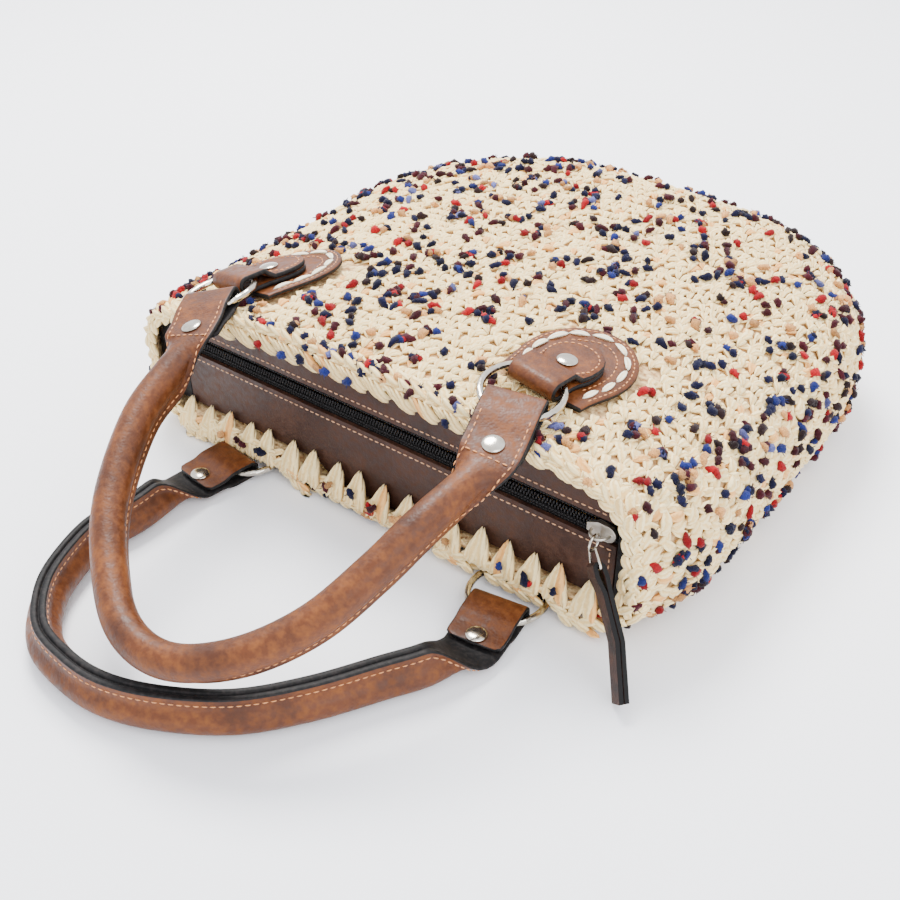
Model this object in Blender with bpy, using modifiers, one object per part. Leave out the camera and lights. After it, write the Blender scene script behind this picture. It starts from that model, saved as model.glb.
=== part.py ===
"""Crocheted handbag lying on its back panel, with a leather zip panel and two rolled handles.

X runs along the mouth, Y from the mouth to the bottom of the bag, Z up. Metres.
"""

import math
from typing import NamedTuple

import bmesh
import bpy
from mathutils import Matrix, Vector

# Crocheted body
BAG_HEIGHT = 0.293
BAG_HALF_WIDTH = 0.161
BAG_DEPTH = 0.092
MOUTH_HALF_WIDTH = 0.9 * BAG_HALF_WIDTH
CORNER_RADIUS = 0.114
EDGE_RADIUS = 0.042
WALL = 0.004
MOUTH_LIFT = 0.005
WAIST_SHARE = 0.46
FLAT_OVERSHOOT = 0.006
FLOOR_SOFTNESS = 0.42
CLEARANCE = 0.0004
RING_POINTS = 56

# Zip panel in the mouth
PANEL_INSET = 0.006
PANEL_CLEARANCE = 0.0012
PANEL_LEATHER = 0.0022
PANEL_LEFT = -0.855 * MOUTH_HALF_WIDTH
PANEL_RIGHT = 0.924 * MOUTH_HALF_WIDTH
ZIP_HEIGHT = 0.0555
ZIP_OPENING = 0.0120
TAPE_WIDTH = 0.010
TAPE_THICKNESS = 0.0010
TEETH_WIDTH = 0.0044
TEETH_THICKNESS = 0.0022

# Zip slider and pull
SLIDER_LENGTH = 0.014
SLIDER_X = PANEL_RIGHT - SLIDER_LENGTH / 2
SLIDER_WIDTH = 0.0085
SLIDER_THICKNESS = 0.0026
BRIDGE_WIRE = 0.0016
BRIDGE_HEIGHT = 0.0052
BRIDGE_LENGTH = 0.0090
PULL_RING_RADIUS = 0.0040
PULL_RING_DROP = 0.0021
PULL_WIRE = 0.0013
LINK_LENGTH = 0.0090
LINK_CORNER = 0.0014
LINK_TOP_WIDTH = 0.0092
LINK_MARGIN = 0.0017
PULL_WIDTH = 0.010
PULL_LAYER = 0.0020
PULL_BEND = 0.003
PULL_LEAN = 43
PULL_HEADING = -39
PULL_TIP_HEIGHT = 0.0045

# Rings, tabs and rivets
RING_RADIUS = 0.0182
RING_WIRE = 0.0036
STRAP_LAYER = 0.0024
FOLD_SETBACK = 0.0045
TAB_WIDTH = 0.0250
TAB_HEAD_WIDTH = 0.0290
TAB_REACH = 0.050
TAB_SURROUND = 0.016
RIVET_REACH = 0.031
FRONT_RIVET_REACH = 0.036
FRONT_RIGHT_INWARD = 0.020
FRONT_LEFT_INWARD = 0.011
REAR_RIGHT_INWARD = -0.005
REAR_LEFT_INWARD = 0.002
RIVET_HEAD = 0.0100
RIVET_HEAD_HEIGHT = 0.0014
RIVET_SHAFT = 0.0030
RIVET_SIDES = 16
PATCH_WIDTH = 0.052
PATCH_FRONT_WIDTH = 0.045
PATCH_LENGTH = 0.058
PATCH_SETBACK = 0.013
PATCH_THICKNESS = 0.0024
CUTTER_LENGTH = 0.060

# Rolled handles
HANDLE_STRAP_WIDTH = 0.027
HANDLE_TUBE_WIDTH = 0.0155
HANDLE_TUBE_HEIGHT = 0.0205
HANDLE_SEAM_WIDTH = 0.0068
HANDLE_SEAM_HEIGHT = 0.0060
HANDLE_FLAT_END = 0.007
HANDLE_SHOULDER = 0.022
HANDLE_STEP = 0.013
FRONT_REACH = 0.167
FRONT_DROP = 0.050
FRONT_SLOPE = 0.45
REAR_REACH = 0.154

RIGHT = Vector((1.0, 0.0, 0.0))
UP = Vector((0.0, 0.0, 1.0))
MOUTH_Y = -BAG_HEIGHT / 2
STRAIGHT_LENGTH = BAG_HEIGHT - CORNER_RADIUS
PANEL_DEPTH = PANEL_LEATHER + CLEARANCE + TAPE_THICKNESS
TEETH_FACE = MOUTH_Y + PANEL_INSET + PANEL_DEPTH - TEETH_THICKNESS
SLIDER_FACE = TEETH_FACE - CLEARANCE - SLIDER_THICKNESS
FOLD_RADIUS = RING_WIRE / 2 + CLEARANCE + STRAP_LAYER
FOLD_CENTRE = FOLD_SETBACK + FOLD_RADIUS
RING_REACH = RING_RADIUS + RING_WIRE / 2 + CLEARANCE
HINGE_REACH = RING_RADIUS * 0.835
RIVET_MARGIN = RIVET_HEAD / 2 + CLEARANCE
PATCH_LEVEL = FOLD_RADIUS + CLEARANCE
TAB_ZONE = PATCH_WIDTH / 2 + TAB_SURROUND
REAR_RING_HEIGHT = FOLD_RADIUS + CLEARANCE
TAB_PLATEAU = REAR_RING_HEIGHT + PATCH_LEVEL + PATCH_THICKNESS + CLEARANCE


class Tab(NamedTuple):
    """Where a ring sits: its x and its way in from the mouth edge, with its turns and dip in degrees."""
    name: str
    side: float
    inward: float
    tab_turn: float
    handle_turn: float
    dip: float
    handle_rivet: float


FRONT_TABS = (
    Tab("front_right", 0.46 * BAG_HALF_WIDTH, FRONT_RIGHT_INWARD, 5, 16, 7, FRONT_RIVET_REACH),
    Tab("front_left", -0.596 * BAG_HALF_WIDTH, FRONT_LEFT_INWARD, 8, 25, 7, FRONT_RIVET_REACH),
)
REAR_TABS = (
    Tab("rear_right", 0.547 * BAG_HALF_WIDTH, REAR_RIGHT_INWARD, 0, 9, 0, RIVET_REACH),
    Tab("rear_left", -0.497 * BAG_HALF_WIDTH, REAR_LEFT_INWARD, 0, -8, 0, RIVET_REACH),
)
REAR_TAB_END = REAR_LEFT_INWARD + PATCH_SETBACK + PATCH_LENGTH + 5 * CLEARANCE


class BodyRow(NamedTuple):
    """A section of the straight stretch. along: 0 to 1 over the tabs, 1 to 2 on to the corners."""
    along: float
    widening: float
    top: float
    softness: float
    left_droop: float
    right_droop: float
    lift: float


BODY_ROWS = (
    BodyRow(0.00, 0.00, 0.97, 0.46, 0.25, 0.03, 1.0),
    BodyRow(0.12, 0.38, 0.98, 0.52, 0.25, 0.04, 1.0),
    BodyRow(0.30, 0.72, 0.99, 0.60, 0.25, 0.05, 0.9),
    BodyRow(0.52, 0.96, 0.99, 0.66, 0.27, 0.05, 0.7),
    BodyRow(0.78, 1.00, 0.98, 0.70, 0.27, 0.05, 0.4),
    BodyRow(1.00, 1.00, 0.97, 0.72, 0.25, 0.04, 0.2),
    BodyRow(1.28, 0.99, 0.95, 0.72, 0.22, 0.03, 0.0),
    BodyRow(1.64, 0.98, 0.92, 0.72, 0.16, 0.02, 0.0),
    BodyRow(2.00, 1.00, 0.91, 0.70, 0.10, 0.01, 0.0),
)
CORNER_ANGLES = (13, 26, 38, 50, 61, 71, 79, 85)


class Section(NamedTuple):
    """One cross-section of the body, across the bag's height."""
    y: float
    half_width: float
    low: float
    waist: float
    top: float
    softness: float
    left_droop: float
    right_droop: float


class Station(NamedTuple):
    """A place along a swept strip: its outer face line, its outward direction and its blend."""
    position: Vector
    outward: Vector
    blend: float


def smooth(value):
    value = min(1.0, max(0.0, value))
    return value * value * (3.0 - 2.0 * value)


def mix(first, second, share):
    return first + (second - first) * share


# Materials and objects

def make_material(name, colour, roughness, metallic=0.0):
    material = bpy.data.materials.new(name)
    material.use_nodes = True
    shader = material.node_tree.nodes["Principled BSDF"]
    shader.inputs["Base Color"].default_value = (*colour, 1.0)
    shader.inputs["Roughness"].default_value = roughness
    shader.inputs["Metallic"].default_value = metallic
    material.diffuse_color = (*colour, 1.0)
    return material


MATERIALS = {
    "crochet": ((0.90, 0.80, 0.60), 0.85, 0.0),
    "tan_leather": ((0.36, 0.12, 0.035), 0.45, 0.0),
    "panel_leather": ((0.09, 0.04, 0.022), 0.5, 0.0),
    "black_edge": ((0.012, 0.011, 0.011), 0.5, 0.0),
    "zip_fabric": ((0.02, 0.018, 0.017), 0.8, 0.0),
    "nickel": ((0.75, 0.72, 0.66), 0.2, 1.0),
}


def clear_scene():
    for existing in list(bpy.data.objects):
        bpy.data.objects.remove(existing, do_unlink=True)


def make_collection(name):
    collection = bpy.data.collections.new(name)
    bpy.context.scene.collection.children.link(collection)
    return collection


def add_mesh(name, mesh_data, material, collection):
    """Turn a bmesh into a named object with outward faces."""
    bmesh.ops.recalc_face_normals(mesh_data, faces=mesh_data.faces)
    mesh = bpy.data.meshes.new(name)
    mesh_data.to_mesh(mesh)
    mesh_data.free()
    obj = bpy.data.objects.new(name, mesh)
    collection.objects.link(obj)
    if material is not None:
        mesh.materials.append(material)
    mesh.shade_smooth()
    mesh.set_sharp_from_angle(angle=math.radians(40))
    return obj


def loft(rings):
    """Closed body through rings of equal point counts, capped at both ends."""
    mesh_data = bmesh.new()
    loops = [[mesh_data.verts.new(point) for point in ring] for ring in rings]
    count = len(loops[0])
    for near, far in zip(loops, loops[1:]):
        for index in range(count):
            after = (index + 1) % count
            mesh_data.faces.new((near[index], near[after], far[after], far[index]))
    mesh_data.faces.new(reversed(loops[0]))
    mesh_data.faces.new(loops[-1])
    return mesh_data


def axes_matrix(centre, x_axis, y_axis):
    """Places local X and Y along two directions at a centre."""
    matrix = Matrix((x_axis, y_axis, x_axis.cross(y_axis))).transposed().to_4x4()
    matrix.translation = centre
    return matrix


def curve_mesh(name, curve, matrix, material, collection):
    """Named mesh object from a curve, with its caps welded."""
    source = bpy.data.objects.new(name + "_curve", curve)
    bpy.context.scene.collection.objects.link(source)
    source.matrix_world = matrix
    bpy.context.view_layer.update()
    evaluated = source.evaluated_get(bpy.context.evaluated_depsgraph_get())
    mesh = bpy.data.meshes.new_from_object(evaluated)
    mesh_data = bmesh.new()
    mesh_data.from_mesh(mesh)
    bmesh.ops.remove_doubles(mesh_data, verts=mesh_data.verts, dist=1e-6)
    obj = add_mesh(name, mesh_data, material, collection)
    obj.matrix_world = source.matrix_world
    bpy.data.meshes.remove(mesh)
    bpy.data.objects.remove(source, do_unlink=True)
    return obj


def poly_spline(curve, points, closed):
    spline = curve.splines.new("POLY")
    spline.points.add(len(points) - 1)
    for spline_point, point in zip(spline.points, points):
        spline_point.co = (*point, 1.0)
    spline.use_cyclic_u = closed


def add_plate(name, outline, matrix, thickness, material, collection):
    """Flat plate from an outline of (x, y) points, half of its thickness to each side."""
    curve = bpy.data.curves.new(name, "CURVE")
    curve.dimensions = "2D"
    curve.fill_mode = "BOTH"
    curve.extrude = thickness / 2
    poly_spline(curve, [(x, y, 0.0) for x, y in outline], True)
    return curve_mesh(name, curve, matrix, material, collection)


def add_wire(name, points, closed, wire, material, collection):
    """Round wire through points, six-sided."""
    curve = bpy.data.curves.new(name, "CURVE")
    curve.dimensions = "3D"
    curve.bevel_depth = wire / 2
    curve.bevel_resolution = 1
    curve.use_fill_caps = True
    poly_spline(curve, points, closed)
    return curve_mesh(name, curve, Matrix.Identity(4), material, collection)


def add_ring(name, centre, axis, radius, wire, segments, sides, material, collection):
    """Round ring of wire about an axis."""
    bpy.ops.mesh.primitive_torus_add(
        major_radius=radius, minor_radius=wire / 2, major_segments=segments, minor_segments=sides)
    ring = bpy.context.object
    ring.name = name
    ring.data.name = name
    for holder in list(ring.users_collection):
        holder.objects.unlink(ring)
    collection.objects.link(ring)
    ring.rotation_mode = "QUATERNION"
    ring.rotation_quaternion = axis.to_track_quat("Z", "Y")
    ring.location = centre
    ring.data.materials.append(material)
    ring.data.shade_smooth()
    return ring


def add_turned(name, profile, centre, axis, material, collection):
    """Turned piece: a profile of (radius, height) points from top to foot, with a Screw modifier."""
    mesh = bpy.data.meshes.new(name)
    points = [(radius, 0.0, height) for radius, height in profile]
    mesh.from_pydata(points, [(index, index + 1) for index in range(len(points) - 1)], [])
    mesh.materials.append(material)
    turned_piece = bpy.data.objects.new(name, mesh)
    collection.objects.link(turned_piece)
    turned_piece.rotation_mode = "QUATERNION"
    turned_piece.rotation_quaternion = axis.to_track_quat("Z", "Y")
    turned_piece.location = centre
    screw = turned_piece.modifiers.new("turn", "SCREW")
    screw.axis = "Z"
    screw.steps = RIVET_SIDES
    screw.render_steps = RIVET_SIDES
    screw.use_merge_vertices = True
    screw.merge_threshold = 1e-5
    return turned_piece


def hide_cutter(cutter):
    cutter.hide_render = True
    cutter.display_type = "WIRE"


def add_cutter(name, centre, direction, radius, length, collection):
    """Round cutter along a direction, kept out of the model."""
    mesh_data = bmesh.new()
    bmesh.ops.create_cone(mesh_data, cap_ends=True, segments=12, radius1=radius, radius2=radius, depth=length)
    cutter = add_mesh(name, mesh_data, None, collection)
    cutter.rotation_mode = "QUATERNION"
    cutter.rotation_quaternion = direction.to_track_quat("Z", "Y")
    cutter.location = centre
    hide_cutter(cutter)
    return cutter


def cut(obj, cutter, operation="DIFFERENCE"):
    modifier = obj.modifiers.new(cutter.name, "BOOLEAN")
    modifier.object = cutter
    modifier.operation = operation
    modifier.solver = "EXACT"


# Body sections

def straight_section(row):
    """Section of the straight stretch, from the mouth to where the bottom corners begin."""
    if row.along <= 1.0:
        inward = REAR_TAB_END * row.along
    else:
        inward = mix(REAR_TAB_END, STRAIGHT_LENGTH, row.along - 1.0)
    return Section(
        y=MOUTH_Y + inward,
        half_width=mix(MOUTH_HALF_WIDTH, BAG_HALF_WIDTH, row.widening),
        low=MOUTH_LIFT * row.lift,
        waist=BAG_DEPTH * WAIST_SHARE,
        top=BAG_DEPTH * row.top,
        softness=row.softness,
        left_droop=row.left_droop,
        right_droop=row.right_droop,
    )


def corner_section(degrees, inset):
    """Section through the rounded bottom corners; the depth closes over the edge radius."""
    angle = math.radians(degrees)
    last = straight_section(BODY_ROWS[-1])
    y = MOUTH_Y + STRAIGHT_LENGTH + (CORNER_RADIUS - inset) * math.sin(angle)
    half_width = BAG_HALF_WIDTH - CORNER_RADIUS + (CORNER_RADIUS - inset) * math.cos(angle) + inset
    past_edge = max(0.0, y - (MOUTH_Y + BAG_HEIGHT - EDGE_RADIUS)) / (EDGE_RADIUS - inset)
    closing = math.sqrt(max(0.0, 1.0 - past_edge * past_edge))
    waist = last.waist
    return Section(
        y=y,
        half_width=half_width,
        low=waist - (waist - inset) * closing - inset,
        waist=waist,
        top=waist + (last.top - waist - inset) * closing + inset,
        softness=last.softness,
        left_droop=last.left_droop * closing,
        right_droop=last.right_droop * closing,
    )


def body_sections(inset):
    sections = [straight_section(row) for row in BODY_ROWS]
    return sections + [corner_section(angle, inset) for angle in CORNER_ANGLES]


def section_between(y):
    """Outer section at any place, between its neighbours."""
    sections = body_sections(0.0)
    for near, far in zip(sections, sections[1:]):
        if y <= far.y:
            share = max(0.0, (y - near.y) / (far.y - near.y))
            return Section(*(mix(first, second, share) for first, second in zip(near, far)))
    return sections[-1]


def droop_factor(section, x):
    """The top sinks towards its left and right shoulders."""
    droop = section.left_droop if x < 0 else section.right_droop
    return 1.0 - droop * smooth((abs(x) / section.half_width - 0.25) / 0.75)


def top_height(x, y):
    """Height of the front panel's outer face."""
    section = section_between(y)
    cosine = min(1.0, abs(x) / section.half_width) ** (1.0 / section.softness)
    rise = max(0.0, 1.0 - cosine * cosine) ** (section.softness / 2.0)
    return section.waist + (section.top - section.waist) * rise * droop_factor(section, x)


def tab_plateau(x, y):
    """The back panel is pushed up where the rear tabs lie between it and the floor."""
    if y > MOUTH_Y + REAR_TAB_END + CLEARANCE:
        return 0.0
    for tab in REAR_TABS:
        if abs(x - tab.side) < TAB_ZONE:
            return TAB_PLATEAU
    return 0.0


def section_outline(section, inset):
    """Dense outline of a section: soft shoulders above, nearly square and flat below."""
    outline = []
    steps = 360
    half_width = section.half_width - inset
    rise = section.top - section.waist - inset
    drop = section.waist - section.low + FLAT_OVERSHOOT - inset
    floor = section.low + inset
    for step in range(steps):
        angle = math.radians(-90.0 + 360.0 * step / steps)
        cosine, sine = math.cos(angle), math.sin(angle)
        softness = section.softness if sine > 0 else FLOOR_SOFTNESS
        x = half_width * math.copysign(abs(cosine) ** softness, cosine)
        if sine > 0:
            z = section.waist + rise * abs(sine) ** softness * droop_factor(section, x)
        else:
            z = max(floor, section.waist - drop * abs(sine) ** softness)
        outline.append((x, z))
    return outline


def even_points(outline, count):
    """Points at equal steps round a closed outline, from its first point."""
    closed = outline + outline[:1]
    lengths = [math.dist(first, second) for first, second in zip(closed, closed[1:])]
    total = sum(lengths)
    points = []
    index, covered = 0, 0.0
    for number in range(count):
        target = total * number / count
        while covered + lengths[index] < target:
            covered += lengths[index]
            index += 1
        share = (target - covered) / lengths[index]
        (x0, z0), (x1, z1) = closed[index], closed[index + 1]
        points.append((mix(x0, x1, share), mix(z0, z1, share)))
    return points


def section_ring(section, inset):
    ring = []
    for x, z in even_points(section_outline(section, inset), RING_POINTS):
        lifted = max(z, tab_plateau(x, section.y) + inset if z < section.waist else z)
        ring.append(Vector((x, section.y, lifted)))
    return ring


def make_body(material, collection, cutters):
    """Hollow crocheted shell, parted at the waist into a front and a back half."""
    outer = [section_ring(section, 0.0) for section in body_sections(0.0)]
    inner = [section_ring(section, WALL) for section in body_sections(WALL)]
    rings = list(reversed(outer)) + inner
    waist = BAG_DEPTH * WAIST_SHARE
    size = 2 * BAG_HEIGHT
    for name, sign in (("bag_front", 1.0), ("bag_back", -1.0)):
        half = add_mesh(name, loft(rings), material, collection)
        mesh_data = bmesh.new()
        bmesh.ops.create_cube(mesh_data, size=size)
        other_side = add_mesh(name + "_cutter", mesh_data, None, cutters)
        other_side.location.z = waist - sign * (size - CLEARANCE) / 2
        hide_cutter(other_side)
        cut(half, other_side)


# Zip panel

def clip(outline, axis, limit, keep_above):
    """Part of a closed outline of (x, z) points on one side of a line."""
    sign = 1.0 if keep_above else -1.0
    kept = []
    for first, second in zip(outline, outline[1:] + outline[:1]):
        first_in = sign * (first[axis] - limit) >= 0
        second_in = sign * (second[axis] - limit) >= 0
        if first_in:
            kept.append(first)
        if first_in != second_in:
            share = (limit - first[axis]) / (second[axis] - first[axis])
            kept.append((mix(first[0], second[0], share), mix(first[1], second[1], share)))
    return kept


def hollow_outline(y):
    """Outline of the hollow at one place, between the two nearest body rings."""
    sections = body_sections(WALL)
    beyond = next(index for index, section in enumerate(sections) if section.y >= y)
    near, far = sections[beyond - 1], sections[beyond]
    share = (y - near.y) / (far.y - near.y)
    pairs = zip(section_ring(near, WALL), section_ring(far, WALL))
    return [(mix(first.x, second.x, share), mix(first.z, second.z, share)) for first, second in pairs]


def mouth_outline():
    """The panel's outline, which clears the hollow at its outer and at its inner face."""
    waist = BAG_DEPTH * WAIST_SHARE
    narrower = 1.0 - PANEL_CLEARANCE / MOUTH_HALF_WIDTH
    face = MOUTH_Y + PANEL_INSET
    outer, inner = hollow_outline(face), hollow_outline(face + PANEL_DEPTH)
    floors = [max(first[1], second[1]) for first, second in zip(outer, inner)]
    outline = []
    for index, (first, second) in enumerate(zip(outer, inner)):
        x = min(first[0], second[0], key=abs) * narrower
        if first[1] > waist:
            z = min(first[1], second[1]) - PANEL_CLEARANCE
        else:
            beside = max(floors[index - 1], floors[(index + 1) % RING_POINTS])
            z = max(floors[index], min(beside, TAB_PLATEAU + WALL)) + PANEL_CLEARANCE
        outline.append((x, z))
    return outline


def panel_piece(name, limits, y, thickness, material, collection):
    """Plate across the mouth, clipped to the mouth and to its own limits."""
    outline = mouth_outline()
    for axis, limit, keep_above in limits:
        outline = clip(outline, axis, limit, keep_above)
    centre = Vector((0.0, y + thickness / 2, 0.0))
    add_plate(name, outline, axes_matrix(centre, RIGHT, UP), thickness, material, collection)


def make_panel(materials, collection):
    across, up = 0, 1
    face = MOUTH_Y + PANEL_INSET
    tape_y = face + PANEL_LEATHER + CLEARANCE
    ends = ((across, PANEL_LEFT, True), (across, PANEL_RIGHT, False))
    for name, sign in (("front", 1.0), ("back", -1.0)):
        edge = ZIP_HEIGHT + sign * ZIP_OPENING / 2
        panel_piece("zip_panel_" + name, (*ends, (up, edge, sign > 0)), face, PANEL_LEATHER,
                    materials["panel_leather"], collection)
        near = ZIP_HEIGHT + sign * (TEETH_WIDTH / 2 + CLEARANCE)
        far = near + sign * TAPE_WIDTH
        panel_piece("zip_tape_" + name, (*ends, (up, near, sign > 0), (up, far, sign < 0)), tape_y,
                    TAPE_THICKNESS, materials["zip_fabric"], collection)
    teeth = ((across, PANEL_LEFT, True), (across, SLIDER_X + SLIDER_LENGTH / 2, False),
             (up, ZIP_HEIGHT - TEETH_WIDTH / 2, True), (up, ZIP_HEIGHT + TEETH_WIDTH / 2, False))
    panel_piece("zip_teeth", teeth, TEETH_FACE, TEETH_THICKNESS, materials["zip_fabric"], collection)
    panel_piece("end_trim_left", ((across, PANEL_LEFT - CLEARANCE, False),), face, PANEL_DEPTH,
                materials["black_edge"], collection)
    panel_piece("end_trim_right", ((across, PANEL_RIGHT + CLEARANCE, True),), face, PANEL_DEPTH,
                materials["black_edge"], collection)


# Zip slider and pull

def link_path(top, hang, side):
    """Flat link with rounded corners, wider below, where the leather strip is folded round it."""
    foot_width = PULL_WIDTH + 2 * LINK_MARGIN
    path = []
    for quarter in range(4):
        lower = quarter in (1, 2)
        half = (foot_width if lower else LINK_TOP_WIDTH) / 2 - LINK_CORNER
        sideways = half if quarter < 2 else -half
        along = LINK_LENGTH - LINK_CORNER if lower else LINK_CORNER
        for degrees in (0, 30, 60, 90):
            angle = math.radians(quarter * 90 + degrees)
            path.append(top + hang * (along - LINK_CORNER * math.cos(angle))
                        + side * (sideways + LINK_CORNER * math.sin(angle)))
    return path


def slider_outline():
    """Teardrop plate, rounded towards the open side of the zip."""
    half_length, half_width = SLIDER_LENGTH / 2, SLIDER_WIDTH / 2
    outline = [(-half_length, -half_width * 0.45), (-half_length * 0.3, -half_width)]
    for degrees in range(-75, 76, 25):
        angle = math.radians(degrees)
        outline.append((half_length - half_width * (1 - math.cos(angle)), half_width * math.sin(angle)))
    outline += [(-half_length * 0.3, half_width), (-half_length, half_width * 0.45)]
    return outline


def make_slider(materials, collection, cutters):
    """Slider plate with a wire bridge over it for the pull's ring."""
    centre = Vector((SLIDER_X, SLIDER_FACE + SLIDER_THICKNESS / 2, ZIP_HEIGHT))
    plate = add_plate("zip_slider", slider_outline(), axes_matrix(centre, RIGHT, UP), SLIDER_THICKNESS,
                      materials["nickel"], collection)
    foot = SLIDER_THICKNESS / 3
    path = []
    for degrees in range(0, 181, 20):
        angle = math.radians(degrees)
        height = (BRIDGE_HEIGHT + foot) * math.sin(angle) - foot
        x = SLIDER_X - BRIDGE_LENGTH / 2 * math.cos(angle)
        path.append(Vector((x, SLIDER_FACE - height, ZIP_HEIGHT)))
    bridge = add_wire("slider_bridge", path, False, BRIDGE_WIRE, None, cutters)
    hide_cutter(bridge)
    cut(plate, bridge, "UNION")


def make_pull(materials, collection):
    """Ring round the bridge, link through the ring, and the leather pull folded round the link."""
    wire = PULL_WIRE / 2
    lean, heading = math.radians(PULL_LEAN), math.radians(PULL_HEADING)
    down = Vector((math.sin(lean) * math.cos(heading), math.sin(lean) * math.sin(heading), -math.cos(lean)))
    across = Vector((-math.sin(heading), math.cos(heading), 0.0))
    side = down.cross(across)
    ring_centre = Vector((SLIDER_X, SLIDER_FACE, ZIP_HEIGHT))
    ring_centre += Vector((0.0, -(PULL_RING_RADIUS + wire + CLEARANCE), -PULL_RING_DROP))
    add_ring("pull_ring", ring_centre, RIGHT, PULL_RING_RADIUS, PULL_WIRE, 16, 6,
             materials["nickel"], collection)
    tension = Vector((0.0, down.y, down.z)).normalized()
    link_top = ring_centre + tension * (PULL_RING_RADIUS - PULL_WIRE - CLEARANCE)
    add_wire("pull_link", link_path(link_top, down, side), True, PULL_WIRE, materials["nickel"], collection)
    make_pull_tab(link_top + down * LINK_LENGTH, down, across, side, materials, collection)


def make_pull_tab(fold, down, across, side, materials, collection):
    """Narrow strip folded round the link; its tip ends just above the floor."""
    spread = PULL_WIRE / 2 + CLEARANCE + PULL_LAYER
    closed = PULL_LAYER + CLEARANCE / 2
    end = (fold.z - PULL_TIP_HEIGHT) / -down.z
    straight = [(end * share, closed) for share in (1.0, 0.55, 0.18)] + [(spread, spread)]
    profile = [(along, -out) for along, out in straight]
    for degrees in range(-60, 61, 30):
        angle = math.radians(degrees)
        profile.append((-spread * math.cos(angle), spread * math.sin(angle)))
    profile += reversed(straight)
    rings = []
    for (along, out), (turn_along, turn_out) in zip(profile, outward_turns(profile)):
        bow = PULL_BEND * math.sin(math.pi * max(0.0, along) / end)
        centre = fold + down * along + across * (out + bow)
        inward = -(down * turn_along + across * turn_out) * PULL_LAYER
        half = side * PULL_WIDTH / 2
        rings.append([centre - half, centre + half, centre + half + inward, centre - half + inward])
    add_mesh("pull_tab", loft(rings), materials["black_edge"], collection)


# Tabs, rings and rivets

class Frame(NamedTuple):
    """A ring's centre with the directions along the tab, out of the bag, and across."""
    centre: Vector
    along: Vector
    out: Vector


def turned(direction, out, degrees):
    """A direction swung clockwise about the outward direction of a front tab."""
    flat = (direction - out * direction.dot(out)).normalized()
    angle = math.radians(degrees)
    return (flat * math.cos(angle) + flat.cross(out) * math.sin(angle)).normalized()


def front_frame(tab):
    """Ring frame on the front panel, lifted until the patch clears the curved crochet."""
    inward = Vector((0.0, 1.0, 0.0))
    middle = PATCH_SETBACK + PATCH_LENGTH / 2
    angle = math.radians(tab.tab_turn)
    x = tab.side + middle * math.sin(angle)
    y = MOUTH_Y + tab.inward + middle * math.cos(angle)
    step = PATCH_WIDTH / 4
    slope_x = (top_height(x + step, y) - top_height(x - step, y)) / (2 * step)
    slope_y = (top_height(x, y + step) - top_height(x, y - step)) / (2 * step)
    out = Vector((-slope_x, -slope_y, 1.0)).normalized()
    along = turned(inward, out, tab.tab_turn)
    across = along.cross(out)
    spot = Vector((x, y, top_height(x, y)))
    bulge = 0.0
    for forward in (-0.5, -0.25, 0.0, 0.25, 0.5):
        for sideways in (-0.5, -0.25, 0.0, 0.25, 0.5):
            probe = spot + along * forward * PATCH_LENGTH + across * sideways * PATCH_WIDTH
            surface = Vector((probe.x, probe.y, top_height(probe.x, probe.y)))
            bulge = max(bulge, (surface - spot).dot(out))
    lift = bulge + CLEARANCE + PATCH_THICKNESS + PATCH_LEVEL
    return Frame(spot - along * middle + out * lift, along, out)


def rear_frame(tab):
    """Ring frame between the back panel and the floor, its outer face down."""
    out = Vector((0.0, 0.0, -1.0))
    centre = Vector((tab.side, MOUTH_Y + tab.inward, REAR_RING_HEIGHT))
    return Frame(centre, turned(Vector((0.0, 1.0, 0.0)), out, -tab.tab_turn), out)


def dipped(frame, degrees):
    """A frame swung about the stretch of ring wire that its fold holds."""
    angle = math.radians(degrees)
    hinge = frame.centre + frame.along * HINGE_REACH
    along = frame.along * math.cos(angle) + frame.out * math.sin(angle)
    out = frame.out * math.cos(angle) - frame.along * math.sin(angle)
    return Frame(hinge - along * HINGE_REACH, along, out)


def handle_frame(ring, tab):
    """The handle's end holds the ring's far side, and dips from it on its own line."""
    away = Vector((0.0, -1.0, 0.0))
    turn = -tab.handle_turn if ring.out.z > 0 else tab.handle_turn
    return dipped(Frame(ring.centre, turned(away, ring.out, turn), ring.out), -tab.dip)


def rivet_frame(frame, reach):
    return Frame(frame.centre + frame.along * reach, frame.along, frame.out)


def loop_profile(low, high, rivet_reach, low_reach, high_reach):
    """Outer face line of a strip folded round the ring, from its lower end to its upper end."""
    closed_reach = rivet_reach - RIVET_MARGIN
    profile = [(low_reach, low), (closed_reach, low), (RING_REACH, -FOLD_RADIUS)]
    for degrees in range(-90, 91, 30):
        angle = math.radians(degrees)
        along = FOLD_CENTRE - FOLD_RADIUS * math.cos(angle)
        profile.append((along, FOLD_RADIUS * math.sin(angle)))
    profile += [(RING_REACH, FOLD_RADIUS), (closed_reach, high), (high_reach, high)]
    return profile


def outward_turns(profile):
    """Outward direction at each point of a profile that folds back on itself."""
    turns = []
    last = len(profile) - 1
    for index in range(len(profile)):
        before, after = profile[max(0, index - 1)], profile[min(last, index + 1)]
        along, out = after[0] - before[0], after[1] - before[1]
        length = math.hypot(along, out)
        turns.append((-out / length, along / length))
    return turns


def tab_width(along):
    """Strap width: straight at the ring, wider at the head, with a round end."""
    width = mix(TAB_WIDTH, TAB_HEAD_WIDTH, smooth((along - RING_REACH) / (RIVET_REACH - RING_REACH)))
    radius = TAB_HEAD_WIDTH / 2
    past = along - (TAB_REACH - radius)
    if past > 0:
        width = 2 * math.sqrt(max(0.0, radius * radius - past * past))
    return max(width, TAB_WIDTH / 6)


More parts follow.
